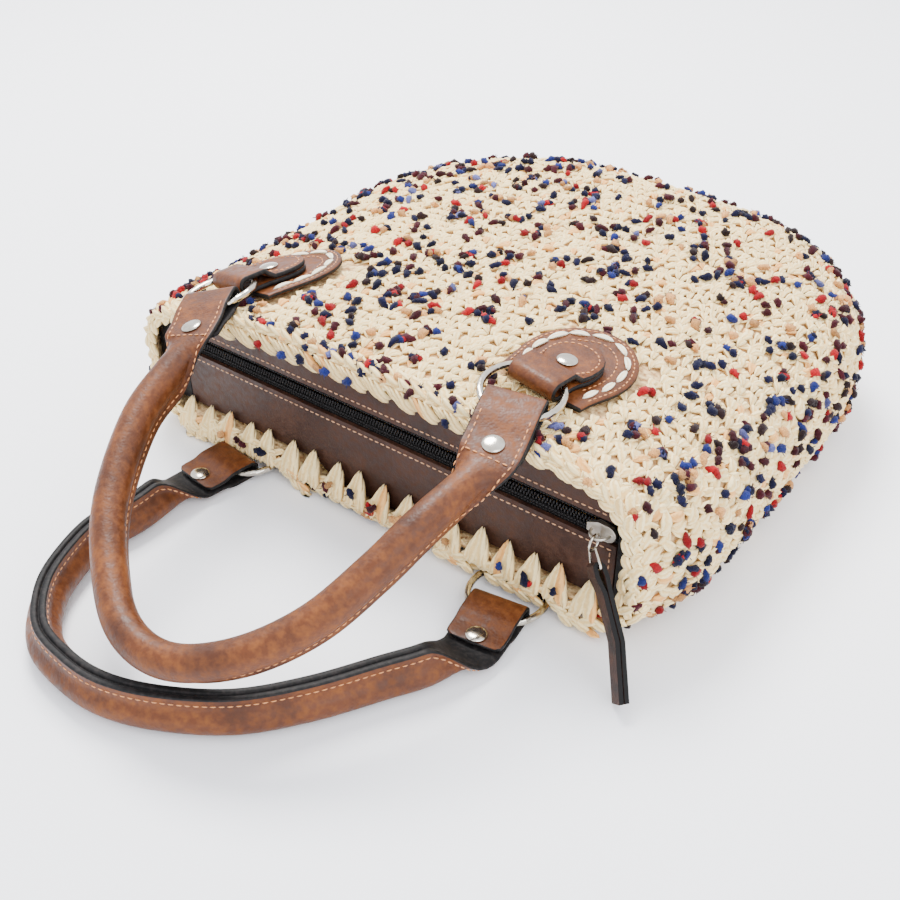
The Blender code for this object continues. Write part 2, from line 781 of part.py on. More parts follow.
def tab_profile():
    """Both layers lie on the patch past the ring, with extra stations round the head."""
    low = -FOLD_RADIUS
    high = low + 2 * STRAP_LAYER + CLEARANCE
    radius = TAB_HEAD_WIDTH / 2
    head = [TAB_REACH - radius * (1 - share) for share in (1.0, 0.96, 0.84, 0.6, 0.3)]
    neck = RIVET_REACH + RIVET_SHAFT
    profile = loop_profile(low, high, RIVET_REACH, neck, neck)
    return [(along, low) for along in head] + profile + [(along, high) for along in reversed(head)]


def make_tab(tab, frame, ring, materials, collection, cutters):
    """Patch, folded strap, ring and rivet of one tab."""
    across = frame.along.cross(frame.out)
    patch_centre = frame.centre - frame.out * (PATCH_LEVEL + PATCH_THICKNESS / 2)
    patch_place = axes_matrix(patch_centre, frame.along, -across)
    plate = add_plate("tab_patch_" + tab.name, patch_outline(), patch_place, PATCH_THICKNESS,
                      materials["tan_leather"], collection)
    profile = tab_profile()
    rings = []
    for (along, out), (turn_along, turn_out) in zip(profile, outward_turns(profile)):
        centre = frame.centre + frame.along * along + frame.out * out
        inward = -(frame.along * turn_along + frame.out * turn_out) * STRAP_LAYER
        half = across * tab_width(along) / 2
        rings.append([centre - half, centre + half, centre + half + inward, centre - half + inward])
    strap = add_mesh("tab_strap_" + tab.name, loft(rings), materials["tan_leather"], collection)
    add_ring("ring_" + tab.name, ring.centre, ring.out, RING_RADIUS, RING_WIRE, 24, 8,
             materials["nickel"], collection)
    high = -FOLD_RADIUS + 2 * STRAP_LAYER + CLEARANCE
    low = -PATCH_LEVEL - PATCH_THICKNESS
    spot = rivet_frame(frame, RIVET_REACH)
    rivet_hole("tab_hole_" + tab.name, spot, (strap, plate), cutters)
    make_rivet("tab_rivet_" + tab.name, spot, high, low, False, materials, collection)


def patch_outline():
    """Shield outline: straight front edge, sides that widen, and a round inner end."""
    start, end = PATCH_SETBACK, PATCH_SETBACK + PATCH_LENGTH
    shoulder = mix(start, end, 0.45)
    outline = [(start, -PATCH_FRONT_WIDTH / 2), (shoulder, -PATCH_WIDTH / 2)]
    for degrees in range(-75, 76, 15):
        angle = math.radians(degrees)
        outline.append((shoulder + (end - shoulder) * math.cos(angle), PATCH_WIDTH / 2 * math.sin(angle)))
    outline += [(shoulder, PATCH_WIDTH / 2), (start, PATCH_FRONT_WIDTH / 2)]
    return outline


def rivet_hole(name, spot, targets, cutters):
    radius = RIVET_SHAFT / 2 + CLEARANCE
    cutter = add_cutter(name, spot.centre, spot.out, radius, CUTTER_LENGTH, cutters)
    for target in targets:
        cut(target, cutter)


def make_rivet(name, spot, high, low, two_heads, materials, collection):
    """Turned rivet: a low domed head outside, a shaft, and a second head where it shows."""
    head, shaft = RIVET_HEAD / 2, RIVET_SHAFT / 2
    top, foot = high + CLEARANCE, low - CLEARANCE
    dome = []
    for degrees in (90, 60, 35, 15, 0):
        angle = math.radians(degrees)
        dome.append((head * math.cos(angle) if degrees < 90 else 0.0, RIVET_HEAD_HEIGHT * math.sin(angle)))
    profile = [(radius, top + rise) for radius, rise in dome] + [(shaft, top)]
    if two_heads:
        profile += [(shaft, foot)] + [(radius, foot - rise) for radius, rise in reversed(dome)]
    else:
        profile += [(shaft, low + CLEARANCE), (0.0, low + CLEARANCE)]
    add_turned(name, profile, spot.centre, spot.out, materials["nickel"], collection)


# Handles

class LoopPoint(NamedTuple):
    """A point of a handle's loop: shares of the half spacing, the reach and the drop."""
    side: float
    reach: float
    drop: float


FRONT_LOOP = (
    LoopPoint(0.93, 0.42, 0.13),
    LoopPoint(0.86, 0.57, 0.35),
    LoopPoint(0.73, 0.73, 0.63),
    LoopPoint(0.51, 0.87, 0.83),
    LoopPoint(0.21, 0.95, 0.96),
    LoopPoint(-0.11, 0.94, 0.94),
    LoopPoint(-0.43, 0.84, 0.79),
    LoopPoint(-0.69, 0.71, 0.58),
    LoopPoint(-0.90, 0.52, 0.30),
    LoopPoint(-0.98, 0.37, 0.13),
)
REAR_LOOP = (
    LoopPoint(0.94, 0.40, 1.0),
    LoopPoint(0.82, 0.52, 1.0),
    LoopPoint(0.64, 0.69, 1.0),
    LoopPoint(0.42, 0.84, 1.0),
    LoopPoint(0.12, 0.95, 1.0),
    LoopPoint(-0.14, 1.00, 1.0),
    LoopPoint(-0.38, 1.00, 1.0),
    LoopPoint(-0.61, 0.97, 1.0),
    LoopPoint(-0.80, 0.88, 1.0),
    LoopPoint(-0.92, 0.77, 1.0),
    LoopPoint(-1.01, 0.60, 1.0),
    LoopPoint(-0.98, 0.44, 1.0),
)


def flat_section():
    """Strap section: (sideways, depth) pairs, seven on the outer face and six on the inner."""
    half = HANDLE_STRAP_WIDTH / 2
    shares = (1.0, 0.96, 0.5, 0.0, -0.5, -0.96, -1.0)
    outer = [(half * share, STRAP_LAYER * (0.45 if abs(share) == 1.0 else 0.0)) for share in shares]
    inner = [(half * share, STRAP_LAYER) for share in (-0.96, -0.55, -0.2, 0.2, 0.55, 0.96)]
    return outer + inner


def tube_section():
    """Rolled section: round on the outer side, narrowing to the stitched seam."""
    radius, seam = HANDLE_TUBE_WIDTH / 2, HANDLE_SEAM_WIDTH / 2
    height = HANDLE_TUBE_HEIGHT
    neck = height - HANDLE_SEAM_HEIGHT
    outer = []
    for degrees in range(0, 181, 30):
        angle = math.radians(degrees)
        outer.append((radius * math.cos(angle), radius * (1 - math.sin(angle))))
    belly = (radius + neck) / 2
    left = [(-(radius + seam) / 2, belly + radius * 0.2), (-seam, neck), (-seam, height)]
    right = [(-x, depth) for x, depth in reversed(left)]
    return outer + left + right


def curve_points(points, step):
    """Smooth curve through points, read at about equal steps."""
    padded = [points[0] * 2 - points[1]] + points + [points[-1] * 2 - points[-2]]
    result = []
    for index in range(1, len(padded) - 2):
        p0, p1, p2, p3 = padded[index - 1:index + 3]
        pieces = max(1, round((p2 - p1).length / step))
        for piece in range(pieces):
            t = piece / pieces
            result.append(0.5 * (2 * p1 + (p2 - p0) * t + (2 * p0 - 5 * p1 + 4 * p2 - p3) * t ** 2
                                 + (3 * p1 - p0 - 3 * p2 + p3) * t ** 3))
    return result + [points[-1]]


def end_stations(frame, rivet_reach):
    """Stations of a folded handle end, from the lower layer's end to the flat upper layer."""
    level = STRAP_LAYER + CLEARANCE / 2
    profile = loop_profile(-level, level, rivet_reach, rivet_reach + RIVET_MARGIN,
                           rivet_reach + HANDLE_FLAT_END)
    stations = []
    for (along, out), (turn_along, turn_out) in zip(profile, outward_turns(profile)):
        position = frame.centre + frame.along * along + frame.out * out
        outward = frame.along * turn_along + frame.out * turn_out
        stations.append(Station(position, outward, 0.0))
    return stations


def loop_stations(start, end, points, reach, drop, outward):
    """Stations of the loop between two folded ends, blending from flat to rolled and back."""
    middle = (start.position + end.position) / 2
    half = (start.position.x - end.position.x) / 2
    ring_line = middle.y + RIVET_REACH + HANDLE_FLAT_END
    route = [start.position]
    for point in points:
        route.append(Vector((
            middle.x + point.side * half,
            ring_line - point.reach * reach,
            middle.z - point.drop * drop,
        )))
    route.append(end.position)
    path = curve_points(route, HANDLE_STEP)
    lengths = [0.0]
    for near, far in zip(path, path[1:]):
        lengths.append(lengths[-1] + (far - near).length)
    stations = []
    for position, covered in zip(path[1:-1], lengths[1:-1]):
        from_start, from_end = covered, lengths[-1] - covered
        blend = smooth(min(from_start, from_end) / HANDLE_SHOULDER)
        nearest = start.outward if from_start < from_end else end.outward
        turn = smooth(min(from_start, from_end) / (2 * HANDLE_SHOULDER))
        stations.append(Station(position, nearest.lerp(outward, turn).normalized(), blend))
    return stations


def make_handle(name, tabs, frames, points, reach, drop, outward, materials, collection):
    """Strip swept from one folded end over the loop to the other folded end."""
    first, second = [end_stations(frame, tab.handle_rivet) for frame, tab in zip(frames, tabs)]
    last = list(reversed(second))
    stations = first + loop_stations(first[-1], last[0], points, reach, drop, outward) + last
    flat, tube = flat_section(), tube_section()
    rings = []
    for index, station in enumerate(stations):
        before = stations[max(0, index - 1)].position
        after = stations[min(len(stations) - 1, index + 1)].position
        tangent = (after - before).normalized()
        out = (station.outward - tangent * station.outward.dot(tangent)).normalized()
        side = out.cross(tangent)
        ring = []
        for (flat_side, flat_depth), (tube_side, tube_depth) in zip(flat, tube):
            sideways = mix(flat_side, tube_side, station.blend)
            depth = mix(flat_depth, tube_depth, station.blend)
            ring.append(station.position + side * sideways - out * depth)
        rings.append(ring)
    return add_mesh(name, loft(rings), materials["tan_leather"], collection)


def finish_handle(handle, tabs, frames, materials, collection, cutters):
    level = STRAP_LAYER + CLEARANCE / 2
    for tab, frame in zip(tabs, frames):
        spot = rivet_frame(frame, tab.handle_rivet)
        rivet_hole("handle_hole_" + tab.name, spot, (handle,), cutters)
        make_rivet("handle_rivet_" + tab.name, spot, level, -level, True, materials, collection)


def build():
    clear_scene()
    parts = make_collection("crocheted_handbag")
    cutters = make_collection("cutters")
    materials = {name: make_material(name, *look) for name, look in MATERIALS.items()}
    make_body(materials["crochet"], parts, cutters)
    make_panel(materials, parts)
    make_slider(materials, parts, cutters)
    make_pull(materials, parts)
    ends = []
    for tabs, place in ((FRONT_TABS, front_frame), (REAR_TABS, rear_frame)):
        for tab in tabs:
            frame = place(tab)
            ring = dipped(frame, tab.dip)
            make_tab(tab, frame, ring, materials, parts, cutters)
            ends.append(handle_frame(ring, tab))
    front_ends, rear_ends = ends[:len(FRONT_TABS)], ends[len(FRONT_TABS):]
    tilt = Vector((0.0, -FRONT_SLOPE, 1.0)).normalized()
    handle = make_handle("handle_front", FRONT_TABS, front_ends, FRONT_LOOP, FRONT_REACH, FRONT_DROP,
                         tilt, materials, parts)
    finish_handle(handle, FRONT_TABS, front_ends, materials, parts, cutters)
    rear_drop = rear_ends[0].centre.z - STRAP_LAYER - CLEARANCE
    handle = make_handle("handle_rear", REAR_TABS, rear_ends, REAR_LOOP, REAR_REACH,
                         rear_drop - CLEARANCE, Vector((0.0, 0.0, -1.0)), materials, parts)
    finish_handle(handle, REAR_TABS, rear_ends, materials, parts, cutters)


build()
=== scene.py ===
import math
from typing import NamedTuple

import bmesh
import bpy
import numpy as np
from mathutils import Matrix, Vector
from mathutils.bvhtree import BVHTree
from mathutils.geometry import barycentric_transform


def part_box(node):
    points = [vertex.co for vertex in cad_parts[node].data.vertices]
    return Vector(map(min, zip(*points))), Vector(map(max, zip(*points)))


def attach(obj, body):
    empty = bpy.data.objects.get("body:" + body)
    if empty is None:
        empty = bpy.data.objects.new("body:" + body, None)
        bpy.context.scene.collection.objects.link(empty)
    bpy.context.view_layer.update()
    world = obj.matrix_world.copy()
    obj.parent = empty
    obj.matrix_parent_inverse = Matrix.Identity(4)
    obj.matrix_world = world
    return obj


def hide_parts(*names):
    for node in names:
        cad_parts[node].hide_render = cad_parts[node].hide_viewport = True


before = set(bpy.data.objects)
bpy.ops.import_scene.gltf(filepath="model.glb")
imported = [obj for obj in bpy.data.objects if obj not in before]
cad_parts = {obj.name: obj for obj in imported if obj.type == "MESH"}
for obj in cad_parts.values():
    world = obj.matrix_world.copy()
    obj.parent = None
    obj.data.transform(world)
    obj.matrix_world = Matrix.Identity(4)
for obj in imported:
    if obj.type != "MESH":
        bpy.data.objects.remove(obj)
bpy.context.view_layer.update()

# Looks of a crocheted handbag: yarn, leather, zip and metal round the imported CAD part.
# X runs along the mouth, Y from the mouth to the bottom of the bag, Z up. Metres.

SEED = 41
random = np.random.default_rng(SEED)
SIDES = ("front_right", "front_left", "rear_right", "rear_left")
UP = Vector((0.0, 0.0, 1.0))
ACROSS_MOUTH = Vector((1.0, 0.0, 0.0))
OUT_OF_MOUTH = Vector((0.0, -1.0, 0.0))

# Body sizes, as the CAD part has them
BODY_NODES = ("bag_front", "bag_back")
BODY_LOW, BODY_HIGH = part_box("bag_back")[0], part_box("bag_front")[1]
MOUTH_Y = BODY_LOW.y
WAIST = (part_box("bag_back")[1].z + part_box("bag_front")[0].z) / 2
WAIST_GAP = 0.0004
CORNER_RADIUS = 0.114
CORNER_X = BODY_HIGH.x - CORNER_RADIUS
CORNER_Y = BODY_HIGH.y - CORNER_RADIUS
PANEL_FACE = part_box("zip_panel_back")[0].y
PANEL_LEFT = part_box("zip_panel_back")[0].x
PANEL_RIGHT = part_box("zip_panel_back")[1].x
ZIP_HEIGHT = (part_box("zip_panel_back")[1].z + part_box("zip_panel_front")[0].z) / 2
ZIP_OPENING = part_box("zip_panel_front")[0].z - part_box("zip_panel_back")[1].z

# Crochet
SHELL_INSET = 0.0012
ROW_HEIGHT = 0.0062
STITCH_PITCH = 0.0068
GUSSET_ROW = 0.0074
GUSSET_PITCH = 0.0082
GUSSET_DEPTH = 0.040
STITCH_SINK = 0.0008
BACK_SINK = 0.0021
STITCH_TURN = 0.14
PUFF_TURN = 0.20
PUFF_SHIFT = 0.0004
PUFF_SLIDE = 0.0007
STRAND_ASIDE = 0.42
PEACH_CHANCE = 0.05
RAY_START = 0.2
MOUTH_RAY_START = 0.4
BRAID_PITCH = 0.0078
BRAID_TURN = 0.12
RIM_OUTER_DEPTH = 0.0035
RIM_FACE_DEPTH = 0.0008
RIM_LIFT = 0.0004
LIP_DEPTH = 0.002
LIP_LIFT = 0.0010
HEM_DROPS = {"rear_right": 0.0070, "rear_left": 0.0040}
HEM_EDGE_DROP = 0.0070
HEM_OVER_WIRE = 0.0030
HEM_OVER_STRAP = 0.0010
HEM_HALF_WIDTH = 0.041
HEM_FADE = 0.006
HEM_SPREAD = 0.020
WIRE_MARGIN = 0.002
WIRE_FADE = 0.004
LIP_END_X = 0.121
LIP_BELOW_WAIST = 0.004
UPPER_RIM_SHARE = 0.22
REST_HEIGHT = 0.0002
PANEL_EDGE_TILT = 0.55

# Width, length, height and lean of the strands in a plaited row
RIM_BRAID = (0.0042, 0.0108, 0.0038, 0.45)
LIP_BRAID = (0.0034, 0.0095, 0.0034, 0.42)

# Width, length and height of a stitch's two puffs, and the angle that each leans aside
PANEL_STITCH = (STITCH_PITCH * 0.58, ROW_HEIGHT * 1.50, 0.0037, 0.38)
GUSSET_STITCH = (GUSSET_PITCH * 0.58, GUSSET_ROW * 1.48, 0.0044, 0.28)

# Tufts: how many there are on each part of the crochet and how high they sit, and their ranges
NUBS_ON = {
    "front": (560, 0.0018),
    "back": (200, -0.0012),
    "gusset": (480, 0.0022),
    "edges": (66, 0.0016),
}
NUB_LENGTHS = (0.0046, 0.0084)
NUB_WIDTHS = (0.0033, 0.0049)
NUB_HEIGHTS = (0.0030, 0.0045)
NUB_SHADES = (0.38, 0.86)
NUB_STEPS = (0.0026, 0.0052)
CLUSTER_CHANCE = 0.40
FIBRES_PER_NUB = 3
FIBRE_LENGTHS = (0.0018, 0.0034)
FIBRE_WIDTH = 0.0005

# Tabs and straps, as the CAD part has them
STRAP_LAYER = 0.0024
CLEARANCE = 0.0004
RING_WIRE = 0.0036
RING_RADIUS = 0.0182
FOLD_RADIUS = RING_WIRE / 2 + CLEARANCE + STRAP_LAYER
FOLD_SETBACK = 0.0045
FOLD_CENTRE = FOLD_SETBACK + FOLD_RADIUS
RING_REACH = RING_RADIUS + RING_WIRE / 2 + CLEARANCE
TAB_WIDTH = 0.0250
TAB_HEAD_WIDTH = 0.0290
TAB_REACH = 0.050
RIVET_REACH = 0.031
RIVET_MARGIN = 0.0054
PATCH_LEVEL = FOLD_RADIUS + CLEARANCE
PATCH_THICKNESS = 0.0024
PATCH_SETBACK = 0.013
PATCH_LENGTH = 0.058
PATCH_WIDTH = 0.052
PATCH_FRONT_WIDTH = 0.045

# Handles, as the CAD part has them
HANDLE_STRAP_WIDTH = 0.027
HANDLE_FLAT_END = 0.007
HANDLE_SHOULDER = 0.022
HANDLE_STEP = 0.004
TUBE_RADIUS = 0.00775
SEAM_HALF_WIDTH = 0.0034
SEAM_NECK = 0.0145
SEAM_DEPTH = 0.0205
FRONT_REACH = 0.167
FRONT_DROP = 0.050
FRONT_SLOPE = 0.45
REAR_REACH = 0.154
HANDLE_RIVETS = {"front_right": 0.036, "front_left": 0.036, "rear_right": 0.031, "rear_left": 0.031}

# Loops of the handles: shares of the half spacing, the reach and the drop
FRONT_LOOP = (
    (0.93, 0.42, 0.13), (0.86, 0.57, 0.35), (0.73, 0.73, 0.63), (0.51, 0.87, 0.83), (0.21, 0.95, 0.96),
    (-0.11, 0.94, 0.94), (-0.43, 0.84, 0.79), (-0.69, 0.71, 0.58), (-0.90, 0.52, 0.30), (-0.98, 0.37, 0.13),
)
REAR_LOOP = (
    (0.94, 0.40, 1.0), (0.82, 0.52, 1.0), (0.64, 0.69, 1.0), (0.42, 0.84, 1.0), (0.12, 0.95, 1.0),
    (-0.14, 1.00, 1.0), (-0.38, 1.00, 1.0), (-0.61, 0.97, 1.0), (-0.80, 0.88, 1.0), (-0.92, 0.77, 1.0),
    (-1.01, 0.60, 1.0), (-0.98, 0.44, 1.0),
)


def linear(red, green, blue):
    """Scene colour of an eye colour given from 0 to 255."""
    shares = (red / 255.0, green / 255.0, blue / 255.0)
    return tuple(s / 12.92 if s <= 0.04045 else ((s + 0.055) / 1.055) ** 2.4 for s in shares)


CREAM = linear(255, 230, 170)
PEACH = linear(244, 186, 112)
# Painted shade: multiplies the yarn's tint in the grooves between its pleats
YARN_SHADE = (0.82, 0.70, 0.53)
NUB_COLOURS = (
    (linear(16, 18, 56), 0.28),
    (linear(36, 48, 122), 0.07),
    (linear(176, 16, 28), 0.15),
    (linear(70, 15, 28), 0.21),
    (linear(44, 26, 28), 0.13),
    (linear(238, 172, 106), 0.14),
    (linear(104, 108, 172), 0.02),
)
THREAD = linear(206, 134, 74)
THREAD_ON_DARK = linear(206, 154, 112)
WHITE_YARN = linear(255, 246, 222)


def smooth(value):
    value = min(1.0, max(0.0, value))
    return value * value * (3.0 - 2.0 * value)


def mix(first, second, share):
    return first + (second - first) * share


# Materials

class Look:
    """A material while its nodes are joined. An input is a value or another node's socket."""

    def __init__(self, name, colour, settings):
        self.material = bpy.data.materials.new(name)
        self.material.use_nodes = True
        self.material.diffuse_color = (*colour, 1.0)
        self.shader = self.material.node_tree.nodes["Principled BSDF"]
        self.feed(self.shader, {"Base Color": (*colour, 1.0), **settings})

    def feed(self, node, inputs):
        for socket, value in inputs.items():
            if isinstance(value, bpy.types.NodeSocket):
                self.material.node_tree.links.new(value, node.inputs[socket])
            else:
                node.inputs[socket].default_value = value

    def node(self, kind, inputs, **settings):
        node = self.material.node_tree.nodes.new(kind)
        for setting, value in settings.items():
            setattr(node, setting, value)
        self.feed(node, inputs)
        return node

    def attribute(self, name, output):
        return self.node("ShaderNodeAttribute", {}, attribute_name=name).outputs[output]

    def texture(self, kind, output, inputs, **settings):
        where = self.node("ShaderNodeTexCoord", {}).outputs["Object"]
        return self.node(kind, {"Vector": where, **inputs}, **settings).outputs[output]

    def noise(self, scale, detail):
        return self.texture("ShaderNodeTexNoise", "Fac", {"Scale": scale, "Detail": detail})

    def stretch(self, value, low, high, to_low=0.0, to_high=1.0):
        inputs = {"Value": value, 1: low, 2: high, 3: to_low, 4: to_high}
        return self.node("ShaderNodeMapRange", inputs).outputs[0]

    def blend(self, share, first, second, kind="MIX"):
        first = (*first, 1.0) if isinstance(first, tuple) else first
        second = (*second, 1.0) if isinstance(second, tuple) else second
        inputs = {0: share, 6: first, 7: second}
        return self.node("ShaderNodeMix", inputs, data_type="RGBA", blend_type=kind).outputs[2]

    def shade(self, colour, factor):
        return self.blend(1.0, colour, factor, "MULTIPLY")

    def calculate(self, operation, first, second=0.0):
        return self.node("ShaderNodeMath", {0: first, 1: second}, operation=operation).outputs[0]

    def finish(self, colour, height, distance):
        """Joins the colour and a bump to the shader. Returns the material."""
        bump = self.node("ShaderNodeBump", {"Height": height, "Distance": distance, "Strength": 1.0})
        self.feed(self.shader, {"Base Color": colour, "Normal": bump.outputs["Normal"]})
        return self.material


def yarn_material(name, pleats, fuzz):
    """Ribbon yarn: each strand's own tint, lengthwise pleats with painted shade in their grooves, and a
    soft sheen.
    """
    look = Look(name, CREAM, {"Roughness": 0.82, "Sheen Weight": 0.12, "Sheen Roughness": 0.5,
                              "Specular IOR Level": 0.25})
    tint = look.attribute("tint", "Color")
    parts = look.node("ShaderNodeSeparateXYZ", {0: look.attribute("strand", "Vector")}).outputs
    angle = look.calculate("ARCTAN2", parts[2], parts[1])
    wander = look.stretch(look.noise(420.0, 2.0), 0.3, 0.7, -fuzz, fuzz)
    turned = look.calculate("ADD", look.calculate("MULTIPLY", angle, pleats), wander)
    folds = look.stretch(look.calculate("SINE", turned), -1.0, 0.2)
    # Painted shade: the tint is darkened by YARN_SHADE where the folds are low, in the grooves
    lit = look.blend(folds, look.shade(tint, YARN_SHADE), tint)
    speck = look.stretch(look.noise(900.0, 2.0), 0.35, 0.75, 0.94, 1.04)
    return look.finish(look.shade(lit, speck), folds, 0.0004)


def backing_material():
    """Shaded yarn between and behind the stitches."""
    # Painted shade: these browns darken the gaps between and behind the stitches
    look = Look("yarn_backing_painted_shade", linear(200, 164, 114), {"Roughness": 0.95})
    loops = look.noise(320.0, 3.0)
    share = look.stretch(loops, 0.35, 0.65)
    return look.finish(look.blend(share, linear(150, 108, 66), linear(236, 204, 150)), loops, 0.0012)


def fibre_material(name, colour, settings, scale, detail, light, distance):
    """Wool or thread: each strand's own tint, uneven along its fibres."""
    look = Look(name, colour, settings)
    fibres = look.noise(scale, detail)
    lit = look.shade(look.attribute("tint", "Color"), look.stretch(fibres, *light))
    return look.finish(lit, fibres, distance)


def leather_material(name, dark, main, worn, roughness, grain):
    """Waxed leather: soft mottling, worn patches, fine grain and small creases."""
    look = Look(name, main, {"Specular IOR Level": 0.28})
    broad = look.stretch(look.noise(52.0, 6.0), 0.24, 0.64)
    fine = look.stretch(look.noise(300.0, 6.0), 0.42, 0.68)
    share = look.calculate("MULTIPLY", look.calculate("MULTIPLY", broad, fine), 0.75)
    colour = look.blend(share, look.blend(broad, dark, main), worn)
    cells = look.texture("ShaderNodeTexVoronoi", "Distance", {"Scale": grain}, feature="SMOOTH_F1")
    pores = look.stretch(cells, 0.0, 0.55, 0.90, 1.05)
    rough = look.stretch(fine, 0.0, 1.0, roughness - 0.08, roughness + 0.16)
    look.feed(look.shader, {"Roughness": rough})
    creases = look.calculate("MULTIPLY", look.noise(420.0, 6.0), 0.7)
    relief = look.calculate("ADD", look.calculate("MULTIPLY", cells, 0.5), creases)
    return look.finish(look.shade(colour, pores), relief, 0.00022)


def black_material(name, roughness, scale):
    """Painted leather edge or black zip cloth."""
    look = Look(name, linear(18, 16, 17), {"Roughness": roughness, "Specular IOR Level": 0.22})
    wear = look.noise(scale, 4.0)
    share = look.stretch(wear, 0.45, 0.80)
    return look.finish(look.blend(share, linear(12, 11, 12), linear(40, 35, 34)), wear, 0.0002)


def metal_material(name, roughness):
    """Warm nickel with faint wear in its polish."""
    look = Look(name, linear(196, 190, 178), {"Metallic": 1.0})
    wear = look.noise(260.0, 4.0)
    colour = look.blend(look.stretch(wear, 0.3, 0.8), linear(204, 199, 188), linear(168, 158, 142))
    rough = look.stretch(wear, 0.3, 0.7, roughness, roughness + 0.1)
    look.feed(look.shader, {"Base Color": colour, "Roughness": rough})
    return look.material


def pull_material(side):
    """Brown on the strip's faces and black along its cut edges."""
    look = Look("pull_leather", linear(60, 36, 26), {"Roughness": 0.66, "Specular IOR Level": 0.22})
    normal = look.node("ShaderNodeNewGeometry", {}).outputs["Normal"]
    facing = look.node("ShaderNodeVectorMath", {0: normal, 1: tuple(side)}, operation="DOT_PRODUCT")
    edge = look.calculate("ABSOLUTE", facing.outputs["Value"])
    cloud = look.stretch(look.noise(160.0, 4.0), 0.3, 0.7)
    face = look.blend(cloud, linear(28, 18, 14), linear(64, 38, 27))
    colour = look.blend(look.stretch(edge, 0.55, 0.7), face, linear(6, 5, 5))
    return look.finish(colour, look.noise(900.0, 4.0), 0.0003)


YARN = yarn_material("cream_yarn", 3.0, 0.8)
PAINTED_SHADE_BACKING = backing_material()
NUBS = fibre_material("nub_wool", linear(60, 40, 60),
                      {"Roughness": 0.9, "Sheen Weight": 0.10, "Specular IOR Level": 0.15},
                      1400.0, 4.0, (0.3, 0.75, 0.6, 1.3), 0.0006)
THREADS = fibre_material("stitch_thread", THREAD, {"Roughness": 0.6, "Sheen Weight": 0.2},
                         2600.0, 2.0, (0.3, 0.7, 0.75, 1.1), 0.0002)
TAN = leather_material("tan_leather", linear(52, 24, 10), linear(88, 44, 15), linear(120, 68, 28), 0.50,
                       900.0)
BROWN = leather_material("panel_leather", linear(36, 19, 13), linear(55, 31, 21), linear(73, 46, 31), 0.56,
                         1100.0)
EDGE = black_material("black_edge", 0.6, 500.0)
ZIP_CLOTH = black_material("zip_cloth", 0.75, 1500.0)
ZIP_GLOSS = black_material("zip_gloss", 0.26, 1200.0)
NICKEL = metal_material("nickel", 0.12)
SATIN = metal_material("satin_nickel", 0.34)


# Pieces

def add_piece(name, mesh, materials, replaced=()):
    """Shown piece that rides on the bag and what it stands for."""
    piece = bpy.data.objects.new(name, mesh)
    bpy.context.scene.collection.objects.link(piece)
    for material in materials:
        mesh.materials.append(material)
    mesh.shade_smooth()
    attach(piece, "root")
    if replaced:
        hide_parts(*replaced)
    return piece


class Strand(NamedTuple):
    """Small shape to copy: its points, its faces, and the length and angle of each point."""
    points: np.ndarray
    quads: np.ndarray
    tips: np.ndarray
    coords: np.ndarray


def strand_shape(sides, rings, fat_end, arch, roundness, bend=0.0, groove=0.0):
    """Unit strand along X with a groove on top. Its fat end is at high X, and its ends dive."""
    points, coords = [(-0.5, 0.0, 0.0)], [(0.0, 1.0, 0.0)]
    for ring in range(1, rings + 1):
        share = ring / (rings + 1)
        swell = math.sin(math.pi * share ** fat_end) ** roundness
        lift = arch * math.sin(math.pi * share)
        sway = bend * math.sin(math.pi * share)
        for side in range(sides):
            angle = 2.0 * math.pi * (side + 0.5) / sides
            radius = 0.5 * swell * (1.0 - groove * max(0.0, math.sin(angle)) ** 6)
            points.append((share - 0.5, radius * math.cos(angle) + sway, lift + radius * math.sin(angle)))
            coords.append((share, math.cos(angle), math.sin(angle)))
    points.append((0.5, 0.0, 0.0))
    coords.append((1.0, 1.0, 0.0))
    quads, tips = [], []
    last = len(points) - 1
    for side in range(sides):
        after = (side + 1) % sides
        tips.append((0, 1 + after, 1 + side))
        tips.append((last, last - sides + side, last - sides + after))
        for ring in range(rings - 1):
            near, far = 1 + ring * sides, 1 + (ring + 1) * sides
            quads.append((near + side, near + after, far + after, far + side))
    return Strand(np.array(points), np.array(quads), np.array(tips), np.array(coords))


PUFF = strand_shape(6, 4, 1.5, 0.30, 0.62, 0.10, 0.66)
ROPE = strand_shape(6, 5, 1.15, 0.22, 0.50, 0.12, 0.60)
POINTED = strand_shape(10, 6, 1.20, 0.30, 0.58, 0.06, 0.22)
LEAF = strand_shape(10, 6, 1.40, 0.26, 0.50, 0.10, 0.22)
DASH = strand_shape(6, 3, 1.0, 0.15, 0.35)
TOOTH = strand_shape(6, 2, 1.0, 0.0, 0.25)
FIBRE = strand_shape(3, 2, 1.0, 0.25, 0.60, 0.30)


def nub_shape(sides=6, rings=5):
    """Lumpy tuft, from a strand with its radius disturbed."""
    shape = strand_shape(sides, rings, 1.25, 0.1, 0.55)
    points = shape.points.copy()
    for index in range(1, len(points) - 1):
        points[index, 1:] *= random.uniform(0.60, 1.34)
        points[index, 0] += random.uniform(-0.06, 0.06)
    return shape._replace(points=points)


class Strands:
    """Many copies of one shape, kept as rows of numbers until they are made into one mesh."""

    def __init__(self, shape):
        self.shape = shape
        self.rows = []

    def add(self, point, along, up, size, tint):
        self.rows.append((*point, *along, *up, *size, *tint))

    def placed(self):
        data = np.array(self.rows)
        origin, along, up, size = data[:, 0:3], data[:, 3:6], data[:, 6:9], data[:, 9:12]
        along = along / np.linalg.norm(along, axis=1, keepdims=True)
        up = up - along * np.sum(up * along, axis=1, keepdims=True)
        up = up / np.linalg.norm(up, axis=1, keepdims=True)
        side = np.cross(up, along)
        local = self.shape.points[None, :, :] * size[:, None, :]
        points = (origin[:, None, :] + local[:, :, 0:1] * along[:, None, :]
                  + local[:, :, 1:2] * side[:, None, :] + local[:, :, 2:3] * up[:, None, :])
        points[:, :, 2] = np.maximum(points[:, :, 2], REST_HEIGHT)
        return points


